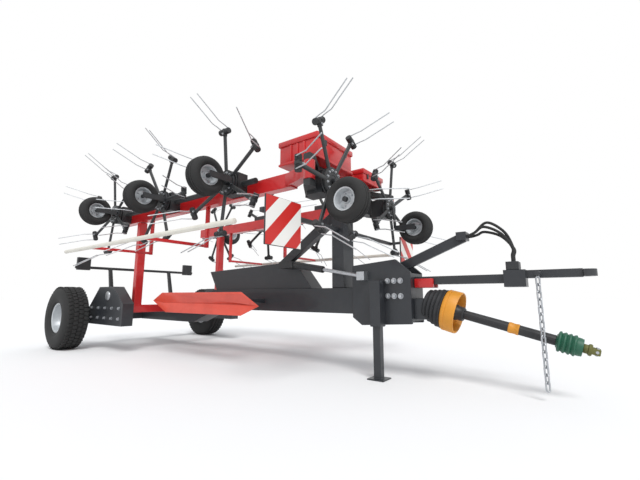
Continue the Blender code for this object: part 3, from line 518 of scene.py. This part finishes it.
# -------------------------------------------------------------------------- sub-assemblies
@dataclass
class Rotor:
    """A tine rotor: hub, six tube arms, tine holders, spring coils and tines."""
    arms: int = 6
    reach: float = 0.53
    drop: float = 0.05
    hub_radius: float = 0.13
    bore: float = 0.0275
    tine_reach: float = 0.75
    tine_drop: float = 0.43
    tine_radius: float = 0.0052
    coil_radius: float = 0.026
    arm_half: float = 0.0138    # half the arm's thickness along the rotor's axis
    arm_oval: float = 1.6       # the arm's width over its thickness

    def hub(self) -> list[bpy.types.Object]:
        """Hub plates, boss and clamp bolts."""
        profile = [(self.bore, -0.05), (0.045, -0.05), (0.05, -0.045), (0.05, -0.032), (0.122, -0.032),
                   (self.hub_radius, -0.026), (self.hub_radius, -0.014), (0.118, -0.010), (0.118, 0.006),
                   (self.hub_radius, 0.010), (self.hub_radius, 0.018), (0.124, 0.021), (0.06, 0.021),
                   (0.055, 0.016), (self.bore, 0.016)]
        pieces = [dress(lathe(profile, 48, Matrix(), closed=True), ARM)]
        bolt = hex_bolt(0.018)
        for k in range(2 * self.arms):
            turn = Matrix.Rotation(pi / self.arms * (k + 0.5), 4, "Z")
            pieces.append(copy_of(bolt, turn @ Matrix.Translation((0.098, 0, 0.021))))
        discard(bolt)
        return pieces

    def arm(self) -> bpy.types.Object:
        """One arm with its holder, two coils and two tines, along local X."""
        slope = self.drop / self.reach
        near, far = (0.085, 0, slope * 0.085), (self.reach - 0.02, 0, self.drop - 0.002)
        tube = bar(near, far, self.arm_half, 16)
        tube = dress(settle(tube, Matrix.Scale(self.arm_oval, 4, Vector((0, 1, 0)))), ARM)
        clamp = dress(block((self.reach - 0.05, -0.016, self.drop - 0.022),
                            (self.reach + 0.028, 0.016, self.drop + 0.024), 0.006), ARM)
        core = dress(bar((self.reach, -0.062, self.drop), (self.reach, 0.062, self.drop), 0.017, 16), ARM)
        pieces = [tube, clamp, core]
        for side in (-1, 1):
            low = 0.016 if side > 0 else -0.061
            coil = spring((self.reach, low, self.drop), 4, self.coil_radius, self.tine_radius, 0.0112)
            pieces.append(dress(coil, COIL))
            cap = Vector((self.reach, side * 0.062, self.drop))
            pieces.append(dress(bar(cap, cap + Vector((0, side * 0.004, 0)), 0.029, 16), ARM))
            y = side * 0.052
            top = Vector((self.reach + self.coil_radius, y, self.drop))
            bend = Vector((self.reach + 0.058, y, self.drop + 0.12))
            knee = Vector((self.reach + 0.115, y, self.drop + 0.21))
            tip = Vector((self.tine_reach, y, self.tine_drop))
            pieces.append(dress(wire([top, (top + bend) / 2 + Vector((0.002, 0, 0)), bend, knee, tip],
                                     self.tine_radius, 7), TINE))
        bolt = hex_bolt(0.016)
        pieces.append(copy_of(bolt, Matrix.Translation((self.reach - 0.03, 0, self.drop + 0.022))))
        discard(bolt)
        return join("arm", pieces)

    def pattern(self) -> bpy.types.Object:
        """The rotor at the origin, from which the others are copied."""
        arm = self.arm()
        pieces = self.hub()
        for k in range(self.arms):
            pieces.append(copy_of(arm, Matrix.Rotation(2 * pi * k / self.arms, 4, "Z")))
        discard(arm)
        return join("rotor_pattern", pieces)

    def fit_all(self) -> None:
        """Put a copy on each rotor body, turned so that neighbours mesh."""
        pattern = self.pattern()
        for body, joint in JOINTS.items():
            if not body.startswith("rotor_"):
                continue
            phase = 0.0 if RATIOS.get(joint["name"], 1) > 0 else pi / self.arms
            twin = copy_of(pattern, axis_frame(joint) @ Matrix.Rotation(phase, 4, "Z"))
            twin.name = body + "_star"
            fit(twin, body, Slot.ARM, body)
        discard(pattern)


@dataclass
class GaugeWheel:
    """A small pneumatic wheel with a ribbed tread and a pressed rim."""
    radius: float = 0.19
    half_width: float = 0.0825
    rim_radius: float = 0.098

    def pattern(self) -> bpy.types.Object:
        """The wheel at the origin, turning about local Z."""
        wide, out = self.half_width, self.radius
        tyre = [(self.rim_radius, -0.058), (0.106, -0.068), (0.125, -wide + 0.002), (0.145, -wide),
                (0.164, -0.075), (0.178, -0.060), (0.186, -0.044), (0.187, -0.036), (0.182, -0.034),
                (0.182, -0.028), (0.188, -0.026), (out, -0.012), (0.1835, -0.010), (0.1835, -0.004),
                (out, -0.002)]
        ring = tyre + [(radius, -height) for radius, height in reversed(tyre)]
        pieces = [dress(lathe(ring, 48, Matrix(), closed=True), RUBBER)]
        rim = [(0, -0.030), (0.030, -0.030), (0.036, -0.016), (0.072, -0.012), (0.080, -0.040),
               (0.088, -0.060), (self.rim_radius, -0.064), (self.rim_radius, 0.064), (0.088, 0.060),
               (0.080, 0.040), (0.072, 0.012), (0.036, 0.016), (0.030, 0.030), (0, 0.030)]
        pieces.append(dress(lathe(rim, 40, Matrix()), RIM))
        pieces.append(dress(bar((0, 0, -0.058), (0, 0, 0.058), 0.022, 20, round_edge=0.003), ARM))
        bolt = hex_bolt(0.016)
        for k in range(5):
            turn = Matrix.Rotation(2 * pi * k / 5, 4, "Z")
            for flip in (0, pi):
                face = Matrix.Rotation(flip, 4, "X") @ Matrix.Translation((0.054, 0, 0.014))
                pieces.append(copy_of(bolt, turn @ face))
        discard(bolt)
        return join("gauge_pattern", pieces)

    def fit_all(self) -> None:
        """Put a copy on each gauge wheel body."""
        pattern = self.pattern()
        for body, joint in JOINTS.items():
            if body.startswith("gauge_wheel_"):
                twin = copy_of(pattern, axis_frame(joint))
                twin.name = body + "_tyre"
                fit(twin, body, Slot.TYRE, body)
        discard(pattern)


@dataclass
class RoadWheel:
    """A road wheel: implement tyre with rows of tread blocks, and a dished rim with six studs."""
    radius: float = 0.4225
    half_width: float = 0.15
    rim_radius: float = 0.20
    tread: float = 0.013
    blocks: int = 46
    studs: int = 6

    def tyre(self) -> bpy.types.Object:
        """Carcass and four rows of tread blocks at the origin, turning about local Z."""
        base, wide = self.radius - self.tread, self.half_width
        half = [(self.rim_radius + 0.0006, -0.112), (0.212, -0.128), (0.235, -0.140), (0.240, -0.139),
                (0.246, -0.143), (0.275, -wide + 0.001), (0.315, -wide), (0.350, -0.147), (0.380, -0.136),
                (0.398, -0.119), (base - 0.003, -0.100), (base, -0.060), (base + 0.001, -0.004)]
        ring = half + [(radius, -height) for radius, height in reversed(half)]
        pieces = [dress(lathe(ring, 72, Matrix(), closed=True, angle=50), RUBBER)]
        row = self.block_row()
        for k in range(self.blocks):
            pieces.append(copy_of(row, Matrix.Rotation(2 * pi * k / self.blocks, 4, "Z")))
        discard(row)
        return join("tyre_pattern", pieces)

    def block_row(self) -> bpy.types.Object:
        """One row of four tread blocks across the tyre, at local +X."""
        pitch = 2 * pi * self.radius / self.blocks
        pieces = []
        # across the tyre, width, tilt with the crown in degrees, shift round the tyre in steps
        rows = ((-0.088, 0.054, -9, 0.0), (-0.029, 0.050, 0, 0.5), (0.029, 0.050, 0, 0.0), (0.088, 0.054, 9, 0.5))
        for across, width, tilt, stagger in rows:
            lug = block((-self.tread, -0.41 * pitch, -width / 2), (0.0, 0.41 * pitch, width / 2), 0.002)
            crown = self.radius - (0.0035 if tilt else 0.0)
            skew = Matrix.Rotation(radians(14 if across > 0 else -14), 4, "X")
            place = Matrix.Translation((crown, 0, across)) @ Matrix.Rotation(radians(tilt), 4, "Y") @ skew
            settle(lug, Matrix.Rotation(2 * pi * stagger / self.blocks, 4, "Z") @ place)
            pieces.append(dress(lug, RUBBER))
        return join("block_row", pieces)

    def rim(self) -> bpy.types.Object:
        """Dished rim, hub cap and studs, outer face towards local +Z."""
        profile = [(0, -0.06), (0.085, -0.06), (0.10, -0.050), (0.115, -0.030), (0.150, -0.022),
                   (0.166, -0.060), (0.172, -0.110), (0.186, -0.117), (self.rim_radius, -0.113),
                   (self.rim_radius, 0.113), (0.188, 0.117), (0.178, 0.108), (0.172, 0.060), (0.160, 0.028),
                   (0.135, 0.012), (0.105, 0.006), (0.092, 0.020), (0.060, 0.026), (0, 0.026)]
        pieces = [dress(lathe(profile, 64, Matrix()), RIM)]
        pieces.append(dress(bar((0, 0, 0.02), (0, 0, 0.050), 0.040, 28, 0.036, 0.004), ARM))
        bolt = hex_bolt(0.026)
        for k in range(self.studs):
            turn = Matrix.Rotation(2 * pi * k / self.studs, 4, "Z")
            pieces.append(copy_of(bolt, turn @ Matrix.Translation((0.076, 0, 0.022))))
        discard(bolt)
        return join("rim_pattern", pieces)

    def fit_all(self) -> None:
        """Put tyre and rim on both road wheel bodies."""
        tyre, rim = self.tyre(), self.rim()
        for side, sign in SIDES:
            joint = JOINTS["wheel_" + side]
            place = Matrix.Translation(Vector(joint["pos_m"])) @ Matrix.Rotation(-sign * pi / 2, 4, "X")
            for pattern, label, slot in ((tyre, "tyre_", Slot.TYRE), (rim, "rim_", Slot.RIM)):
                twin = copy_of(pattern, place)
                twin.name = label + side + "_finished"
                fit(twin, "wheel_" + side, slot, label + side)
        discard(tyre, rim)


@dataclass
class Hoses:
    """Hydraulic hoses from the arm's clamp over to the coupler block."""
    radius: float = 0.011
    clamp_x: float = 5.08
    clamp_z: float = 1.22
    coupler_x: float = 5.41
    coupler_top: float = 0.985
    gap: float = 0.0004
    # name, y, crest height above the clamp, forward reach of the crest
    routes: tuple = (("hose_right", -0.04, 0.06, 0.20), ("hose_middle", 0.0, 0.10, 0.22),
                     ("hose_left", 0.04, 0.03, 0.19))

    def points(self, y: float, crest: float, reach: float) -> list[Vector]:
        """Chosen points of a hose's route, counted from the axle station.

        Args:
            y: place across the clamp.
            crest: height of the crest above the clamp.
            reach: how far ahead of the clamp the crest is.

        Returns:
            The points.
        """
        x, z, top = self.clamp_x + self.gap, self.clamp_z, self.coupler_top
        rows = [(x, y, z), (x + 0.02, y, z), (x + 0.07, y, z + 0.35 * crest),
                (x + reach - 0.06, y, z + crest), (x + reach + 0.06, y, z + 0.4 * crest - 0.03),
                (self.coupler_x + 0.005, y, top + 0.11), (self.coupler_x, y, top + 0.05),
                (self.coupler_x, y, top + 0.02), (self.coupler_x, y, top + self.gap)]
        return [Vector(row) + Vector((AXLE_X, 0, 0)) for row in rows]

    @staticmethod
    def smooth_route(points: Sequence[Vector], steps: int) -> list[Vector]:
        """A Catmull-Rom curve through the points, straight on its first and last stretch."""
        route = [points[0]]
        for a, b, c, d in zip(points, points[1:], points[2:], points[3:]):
            for k in range(steps):
                t = k / steps
                route.append(0.5 * ((2 * b) + (c - a) * t + (2 * a - 5 * b + 4 * c - d) * t * t
                                    + (3 * b - a - 3 * c + d) * t ** 3))
        return route + [points[-2], points[-1]]

    def fit_all(self) -> None:
        """Make each hose as a curve with its real length."""
        for name, y, crest, reach in self.routes:
            route = self.smooth_route(self.points(y, crest, reach), 8)
            data = bpy.data.curves.new(name + "_rubber", "CURVE")
            data.dimensions = "3D"
            data.bevel_depth = self.radius
            data.bevel_resolution = 5
            data.use_fill_caps = True
            spline = data.splines.new("POLY")
            spline.points.add(len(route) - 1)
            for point, place in zip(spline.points, route):
                point.co = (*place, 1.0)
            spline.use_smooth = True
            made = bpy.data.objects.new(name + "_rubber", data)
            bpy.context.scene.collection.objects.link(made)
            made.data.materials.append(HOSE.build())
            fit(made, "chassis", Slot.HOSE, name)


@dataclass
class Chain:
    """Safety chain of welded zinc-plated links."""
    wire_radius: float = 0.0062
    half_width: float = 0.0145
    pitch: float = 0.052

    def fit_all(self) -> None:
        """Hang the links down the space of the construction's chain."""
        low, high = (Vector(corner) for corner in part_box("safety_chain"))
        middle = (low + high) / 2
        clear_selection()
        bpy.ops.mesh.primitive_torus_add(major_radius=self.half_width, minor_radius=self.wire_radius,
                                         major_segments=20, minor_segments=8, rotation=(pi / 2, 0, 0))
        link = bpy.context.object
        settle(link)
        stretch = self.pitch / 2 - self.half_width + self.wire_radius
        for vertex in link.data.vertices:
            vertex.co.z += stretch if vertex.co.z > 0 else -stretch
        smooth(dress(link, ZINC), 60)
        reach = stretch + self.half_width + self.wire_radius
        count = int((high.z - low.z - 2 * reach) / self.pitch) + 1
        pieces = []
        for k in range(count):
            place = Matrix.Translation((middle.x, middle.y, high.z - reach - k * self.pitch))
            pieces.append(copy_of(link, place @ Matrix.Rotation(radians(45 + 90 * (k % 2)), 4, "Z")))
        discard(link)
        fit(join("safety_chain_links", pieces), "chassis", Slot.ZINC, "safety_chain")


@dataclass
class GuardBars:
    """Pale guard bar and its red brackets on each wing."""
    radius: float = 0.0222
    post: float = 0.019

    def fit_all(self) -> None:
        """Make bar and brackets inside the construction's box."""
        for side, sign in SIDES:
            low, high = (Vector(corner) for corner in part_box("guard_bar_" + side))
            bar_y = (low.y + self.radius) if sign < 0 else (high.y - self.radius)
            bar_z = low.z + self.radius
            tube = bar((low.x, bar_y, bar_z), (high.x, bar_y, bar_z), self.radius, 28, round_edge=0.004)
            dress(tube, BAR).name = "guard_bar_" + side + "_tube"
            fit(tube, "wing_" + side, Slot.BAR, "guard_bar_" + side)
            inner = max(low.y, -high.y) if sign > 0 else high.y
            post_y = sign * (abs(inner) + self.post)
            pieces = []
            for station in (1.22, 2.42):
                x = AXLE_X + station
                pieces.append(block((x - self.post, post_y - self.post, bar_z - self.post),
                                    (x + self.post, post_y + self.post, high.z)))
                ends = sorted((post_y, bar_y - sign * 0.6 * self.radius))
                pieces.append(block((x - 0.016, ends[0], bar_z - 0.016), (x + 0.016, ends[1], bar_z + 0.016)))
            for piece in pieces:
                dress(piece, RED)
            fit(join("guard_bar_" + side + "_brackets", pieces), "wing_" + side, Slot.RED)


@dataclass
class Covers:
    """Pressed steel covers over the middle gears: body, lid lip, ribs and latches."""
    lip: float = 0.012

    def fit_all(self) -> None:
        """Make each cover inside its construction box."""
        for side, sign in SIDES:
            low, high = (Vector(corner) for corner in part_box("cover_" + side))
            inset = Vector((self.lip, self.lip, 0))
            pieces = [dress(block(low + inset, high - inset - Vector((0, 0, 0.004)), 0.014), RED)]
            lip_low = Vector((low.x, low.y, high.z - 0.055))
            pieces.append(dress(block(lip_low, high, 0.010), RED))
            pieces.append(dress(block((low.x + 0.004, low.y + 0.004, low.z), (high.x - 0.004, high.y - 0.004,
                                                                              low.z + 0.022), 0.004), RED))
            width = high.y - low.y
            for part in (0.22, 0.78):
                y = low.y + part * width
                pieces.append(dress(block((high.x - self.lip, y - 0.016, high.z - 0.10),
                                          (high.x - 0.001, y + 0.016, high.z - 0.045), 0.003), ARM))
            for part in (0.33, 0.5, 0.67):
                x = low.x + part * (high.x - low.x)
                for edge in (low.y, high.y - self.lip):
                    pieces.append(dress(block((x - 0.012, edge + 0.002, low.z + 0.03),
                                              (x + 0.012, edge + self.lip, high.z - 0.06), 0.004), RED))
            fit(join("cover_" + side + "_pressed", pieces), "chassis", Slot.RED, "cover_" + side)


@dataclass
class Boards:
    """Striped sheets on both faces of the warning boards."""
    sheet: float = 0.0012
    edge: float = 0.004

    def fit_all(self) -> None:
        """Lay the sheets on the boards."""
        for side, sign in SIDES:
            low, high = (Vector(corner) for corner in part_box("warning_board_" + side))
            inner, outer = sorted((sign * 0.98, sign * 1.38))
            front = high.x
            back = high.x - 0.015
            faces = []
            for x in (front, back - self.sheet):
                corner = Vector((x, inner + self.edge, low.z + self.edge))
                faces.append(block(corner, (x + self.sheet, outer - self.edge, high.z - self.edge), 0))
            sheet = join("warning_board_" + side + "_sheet", faces)
            sheet.data.materials.clear()
            sheet.data.materials.append(Stripes("striped_sheet_" + side, sign).build())
            fit(sheet, "chassis", Slot.BOARD)


@dataclass
class DriveShaft:
    """Guarded drive shaft: bell, ring, tube with its band, green end guard and yoke."""

    def place(self) -> Matrix:
        """Frame of the shaft, local Z along it."""
        joint = JOINTS["pto_shaft"]
        turn = Vector(joint["axis"]).to_track_quat("Z", "Y").to_matrix().to_4x4()
        return Matrix.Translation(Vector(joint["pos_m"])) @ turn

    def fit_all(self) -> None:
        """Make the guards and the yoke."""
        place = self.place()
        ring = [(0.060, 0.001), (0.150, 0.001), (0.168, 0.006), (0.1745, 0.014), (0.1745, 0.030),
                (0.171, 0.034), (0.171, 0.040), (0.1745, 0.044), (0.1745, 0.112), (0.170, 0.1195),
                (0.163, 0.1195), (0.159, 0.112), (0.158, 0.050), (0.140, 0.040), (0.060, 0.034)]
        made = dress(lathe(ring, 64, place, closed=True, angle=40), CONE)
        made.name = "pto_cone_ring"
        fit(made, "chassis", Slot.CONE, "pto_cone")
        bell = [(0.118, -0.165)]
        for k in range(4):
            out = 0.124 + 0.010 * k
            back = -0.160 + 0.036 * k
            bell += [(out, back), (out + 0.009, back + 0.008), (out + 0.009, back + 0.022),
                     (out + 0.002, back + 0.030)]
        bell += [(0.166, -0.010), (0.166, 0.0005), (0.150, 0.0005), (0.144, -0.020), (0.112, -0.158)]
        made = dress(lathe(bell, 56, place, closed=True, angle=40), BELL)
        made.name = "pto_bell"
        fit(made, "chassis", Slot.BLACK)
        collar = [(0.038, 0.06), (0.060, 0.06), (0.066, 0.068), (0.066, 0.10), (0.058, 0.112), (0.058, 0.15),
                  (0.050, 0.16), (0.038, 0.16)]
        band = [(0.0376, 0.49), (0.042, 0.493), (0.042, 0.515), (0.040, 0.518), (0.040, 0.545), (0.042, 0.548),
                (0.042, 0.562), (0.0376, 0.565)]
        pieces = [dress(lathe(collar, 40, place, closed=True), BLACK),
                  dress(lathe(band, 32, place, closed=True), CONE)]
        fit(join("pto_tube_collar", pieces), "chassis", Slot.BLACK)
        guard = [(0, 0.801), (0.046, 0.801), (0.050, 0.806)]
        for k in range(4):
            rise = 0.812 + 0.030 * k
            guard += [(0.070, rise), (0.0745, rise + 0.006), (0.0745, rise + 0.014), (0.064, rise + 0.020)]
        guard += [(0.064, 0.938), (0.060, 0.958), (0.048, 0.9596), (0, 0.9596)]
        made = dress(lathe(guard, 40, place), GREEN)
        made.name = "pto_end_guard_ribbed"
        fit(made, "chassis", Slot.GREEN, "pto_end_guard")
        stub = [(0, 0.9605), (0.030, 0.9605), (0.032, 0.964), (0.032, 0.985), (0.040, 0.990), (0.042, 1.002),
                (0.036, 1.010), (0, 1.010)]
        pieces = [dress(lathe(stub, 32, Matrix()), OLIVE)]
        for sign in (-1, 1):
            pieces.append(dress(block((min(sign * 0.024, sign * 0.038), -0.022, 0.995),
                                      (max(sign * 0.024, sign * 0.038), 0.022, 1.057), 0.006), OLIVE))
        pieces.append(dress(bar((-0.043, 0, 1.037), (0.043, 0, 1.037), 0.010, 18, round_edge=0.002), ZINC))
        pieces.append(dress(bar((0, -0.030, 1.037), (0, 0.030, 1.037), 0.010, 18, round_edge=0.002), ZINC))
        made = settle(join("pto_yoke_forged", pieces), place)
        fit(made, "pto_shaft", Slot.OLIVE, "pto_yoke")


@dataclass
class Trim:
    """Bolt heads, lamp lenses and caps on the carried-over pieces."""

    def head_bolts(self) -> list[bpy.types.Object]:
        """Two rows of three bolts on each head plate."""
        low, high = (Vector(corner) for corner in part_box("head_plates"))
        bolt = hex_bolt(0.038)
        pieces = []
        for sign in (-1, 1):
            face = low.y if sign < 0 else high.y
            turn = Matrix.Rotation(-sign * pi / 2, 4, "X")
            # the rear column stays ahead of the jack leg, which slides up past it
            for along in (0.630, 0.735, 0.840):
                for up in (0.45, 0.675):
                    spot = (low.x + along * (high.x - low.x), face, low.z + up * (high.z - low.z))
                    pieces.append(copy_of(bolt, Matrix.Translation(spot) @ turn))
        discard(bolt)
        return pieces

    def axle_bolts(self) -> list[bpy.types.Object]:
        """A row of bolts along each axle end box."""
        bolt = hex_bolt(0.032)
        pieces = []
        for sign in (-1, 1):
            turn = Matrix.Rotation(-sign * pi / 2, 4, "X")
            for x in (0.27, 0.47, 0.67, 0.87, 1.06):
                for z in (0.43, 0.56):
                    pieces.append(copy_of(bolt, Matrix.Translation((AXLE_X + x, sign * 0.94, z)) @ turn))
            cap = [(AXLE_X + 0.72, sign * y, 0.72) for y in (0.935, 0.952)]
            pieces.append(dress(bar(*cap, 0.062, 32, 0.056, 0.003), ZINC))
        discard(bolt)
        return pieces

    def lamps(self) -> bpy.types.Object:
        """Round red lenses on the lamp bar's rear faces."""
        pieces = []
        low = Vector(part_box("lamp_bar")[0])
        for sign in (-1, 1):
            for y in (0.85, 0.93):
                start = (low.x + 0.006, sign * y, 1.235)
                end = (low.x - 0.006, sign * y, 1.235)
                pieces.append(dress(bar(start, end, 0.034, 28, 0.030, 0.003), LENS))
        return join("lamp_lenses", pieces)

    def fit_all(self) -> None:
        """Put the trim on the chassis."""
        fit(join("chassis_bolts", self.head_bolts() + self.axle_bolts()), "chassis", Slot.ZINC)
        fit(self.lamps(), "chassis", Slot.LAMP)
        fit(self.drawbar_gussets(), "chassis", Slot.RED)

    def drawbar_gussets(self) -> bpy.types.Object:
        """Red gusset plates beside the drawbar's root."""
        low, high = (Vector(corner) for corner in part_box("drawbar"))
        pieces = []
        for sign in (-1, 1):
            inner, outer = sorted((sign * 0.043, sign * 0.075))
            plate = block((low.x + 0.004, inner, 0.792), (low.x + 0.17, outer, 0.872), 0.006)
            pieces.append(dress(plate, RED))
        return join("drawbar_gussets", pieces)


@dataclass
class SideGuards:
    """Folded side guard panels: a trough with a crease along its middle."""
    thickness: float = 0.006
    crease: float = 0.045

    def fit_all(self) -> None:
        """Fold a panel for each side out of one outline."""
        for side, sign in SIDES:
            low, high = (Vector(corner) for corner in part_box("side_guard_" + side))
            face = low.y if sign < 0 else high.y
            # upper edge, crease and lower edge, each from the rear tip to the front tip
            top = [(low.x + 0.20, high.z), (high.x - 0.26, high.z)]
            fold = [(low.x, low.z + 0.14), (low.x + 0.20, low.z + 0.115), (high.x - 0.26, low.z + 0.115),
                    (high.x, low.z + 0.10)]
            foot = [(low.x + 0.30, low.z), (high.x - 0.26, low.z)]
            upper = self.panel(face, sign, [fold[0], *top, fold[3], fold[2], fold[1]], {4, 5})
            lower = self.panel(face, sign, [*fold, foot[1], foot[0]], {1, 2})
            made = join("side_guard_" + side + "_folded", [upper, lower])
            fit(made, "chassis", Slot.GUARD, "side_guard_" + side)
            stays = []
            for x in (2.05, 2.80):
                ends = [(AXLE_X + x, y, 0.66) for y in (sign * 0.1215, face - sign * (self.crease + 0.004))]
                stays.append(dress(bar(*ends, 0.0245, 20), CHASSIS))
            fit(join("side_guard_" + side + "_stays", stays), "chassis", Slot.CHASSIS)

    def panel(self, face: float, sign: int, outline: Sequence[Sequence[float]],
              creased: set[int]) -> bpy.types.Object:
        """One half of the folded panel.

        Args:
            face: Y of the outermost edge.
            sign: -1 on the right, 1 on the left.
            outline: X and Z of the corners.
            creased: indices of the corners that lie in the crease.

        Returns:
            The half, as thick sheet.
        """
        clear_selection()
        bpy.ops.mesh.primitive_circle_add(vertices=len(outline), radius=0.1, fill_type="NGON")
        piece = bpy.context.object
        for k, (vertex, (x, z)) in enumerate(zip(piece.data.vertices, outline)):
            inset = self.crease if k in creased else 0.008
            vertex.co = (x, face - sign * inset, z)
        only(piece)
        thick = piece.modifiers.new("Sheet", "SOLIDIFY")
        thick.thickness = self.thickness
        thick.offset = 0
        bpy.ops.object.modifier_apply(modifier=thick.name)
        bpy.ops.object.mode_set(mode="EDIT")
        bpy.ops.mesh.select_all(action="SELECT")
        bpy.ops.mesh.normals_make_consistent(inside=False)
        bpy.ops.object.mode_set(mode="OBJECT")
        return smooth(dress(bevel(piece, 0.002), GUARD), 30)


@dataclass
class CarriedOver:
    """Construction nodes that stay: finishes and softened edges."""
    edge: float = 0.005
    sharp: tuple = ("hose_right", "hose_middle", "hose_left")

    def fit_all(self) -> None:
        """Dress every node by its record slot and soften its edges."""
        slots = {row["node"]: Slot(row["material_slot"]) for row in RECORD["subparts"]}
        for name, node in frame["nodes"].items():
            finish = FINISH_OF_SLOT[slots[name]]
            if not node.material_slots:
                node.data.materials.append(None)
            for slot in node.material_slots:
                slot.material = finish.build()
            if name in self.sharp or name.startswith(("rotor_", "gauge_", "tyre_", "rim_")):
                continue
            weld = node.modifiers.new("Weld", "WELD")
            weld.merge_threshold = 0.0001
            soft = node.modifiers.new("Edges", "BEVEL")
            soft.width = self.edge
            soft.segments = 2
            soft.limit_method = "ANGLE"
            soft.angle_limit = radians(40)
            soft.harden_normals = False


# ------------------------------------------------------------------------------- stage
@dataclass
class Stage:
    """Floor, light and camera."""
    eye: tuple = (5.807, -3.120, 0.726)      # from the axle station
    heading: tuple = (-0.589, 0.808)
    pitch: float = 8.92
    focal_mm: float = 19.83
    sensor_mm: float = 36.0
    floor_half: float = 60.0

    def floor(self) -> None:
        """A pale floor that shows as white beyond the shadow."""
        clear_selection()
        bpy.ops.mesh.primitive_plane_add(size=2 * self.floor_half)
        floor = bpy.context.object
        floor.name = "floor"
        made = bpy.data.materials.new("pale_floor")
        made.use_nodes = True
        tree = made.node_tree
        shader = tree.nodes["Principled BSDF"]
        shader.inputs["Base Color"].default_value = linear("F4F4F4")
        shader.inputs["Roughness"].default_value = 0.9
        shader.inputs["Specular IOR Level"].default_value = 0.1
        floor.data.materials.append(made)

    def light(self) -> None:
        """Soft sky and one broad sun."""
        world = bpy.data.worlds.new("sky")
        bpy.context.scene.world = world
        world.use_nodes = True
        tree = world.node_tree
        shown = tree.nodes["Background"]
        shown.inputs["Color"].default_value = (0.78, 0.80, 0.83, 1)
        shown.inputs["Strength"].default_value = 0.85
        white = add_node(tree, "ShaderNodeBackground", {"Color": (1, 1, 1, 1), "Strength": 1.0})
        path = add_node(tree, "ShaderNodeLightPath")
        bent = add_node(tree, "ShaderNodeMath", {"operation": "MAXIMUM"},
                        {0: path.outputs["Is Glossy Ray"], 1: path.outputs["Is Transmission Ray"]})
        seen = add_node(tree, "ShaderNodeMath", {"operation": "MAXIMUM"},
                        {0: path.outputs["Is Camera Ray"], 1: bent.outputs[0]})
        mix = add_node(tree, "ShaderNodeMixShader", links={0: seen.outputs[0], 1: shown.outputs[0],
                                                           2: white.outputs[0]})
        tree.links.new(mix.outputs[0], tree.nodes["World Output"].inputs["Surface"])
        clear_selection()
        bpy.ops.object.light_add(type="SUN", rotation=(radians(38), radians(12), radians(35)))
        sun = bpy.context.object
        sun.data.energy = 2.0
        sun.data.angle = radians(25)

    def camera(self) -> None:
        """The camera at the viewing angle, a little below the machine's middle."""
        data = bpy.data.cameras.new("camera")
        data.sensor_width = self.sensor_mm
        data.lens = self.focal_mm
        camera = bpy.data.objects.new("camera", data)
        bpy.context.scene.collection.objects.link(camera)
        camera.location = Vector(self.eye) + Vector((AXLE_X, 0, 0))
        level = cos(radians(self.pitch))
        ahead = Vector((self.heading[0] * level, self.heading[1] * level, sin(radians(self.pitch))))
        camera.rotation_mode = "QUATERNION"
        camera.rotation_quaternion = ahead.to_track_quat("-Z", "Y")
        bpy.context.scene.camera = camera

    def fit_all(self) -> None:
        """Set up the whole stage."""
        self.camera()
        self.floor()
        self.light()
        bpy.context.scene.view_settings.view_transform = "Standard"


def main() -> None:
    """Build every class in order."""
    Stage().fit_all()
    Hoses().fit_all()
    CarriedOver().fit_all()
    for part in (Rotor(), GaugeWheel(), RoadWheel(), Chain(), GuardBars(), SideGuards(), Covers(), Boards(),
                 DriveShaft(), Trim()):
        part.fit_all()
        LOG.info("finished %s", type(part).__name__)


if __name__ == "__main__":
    main()
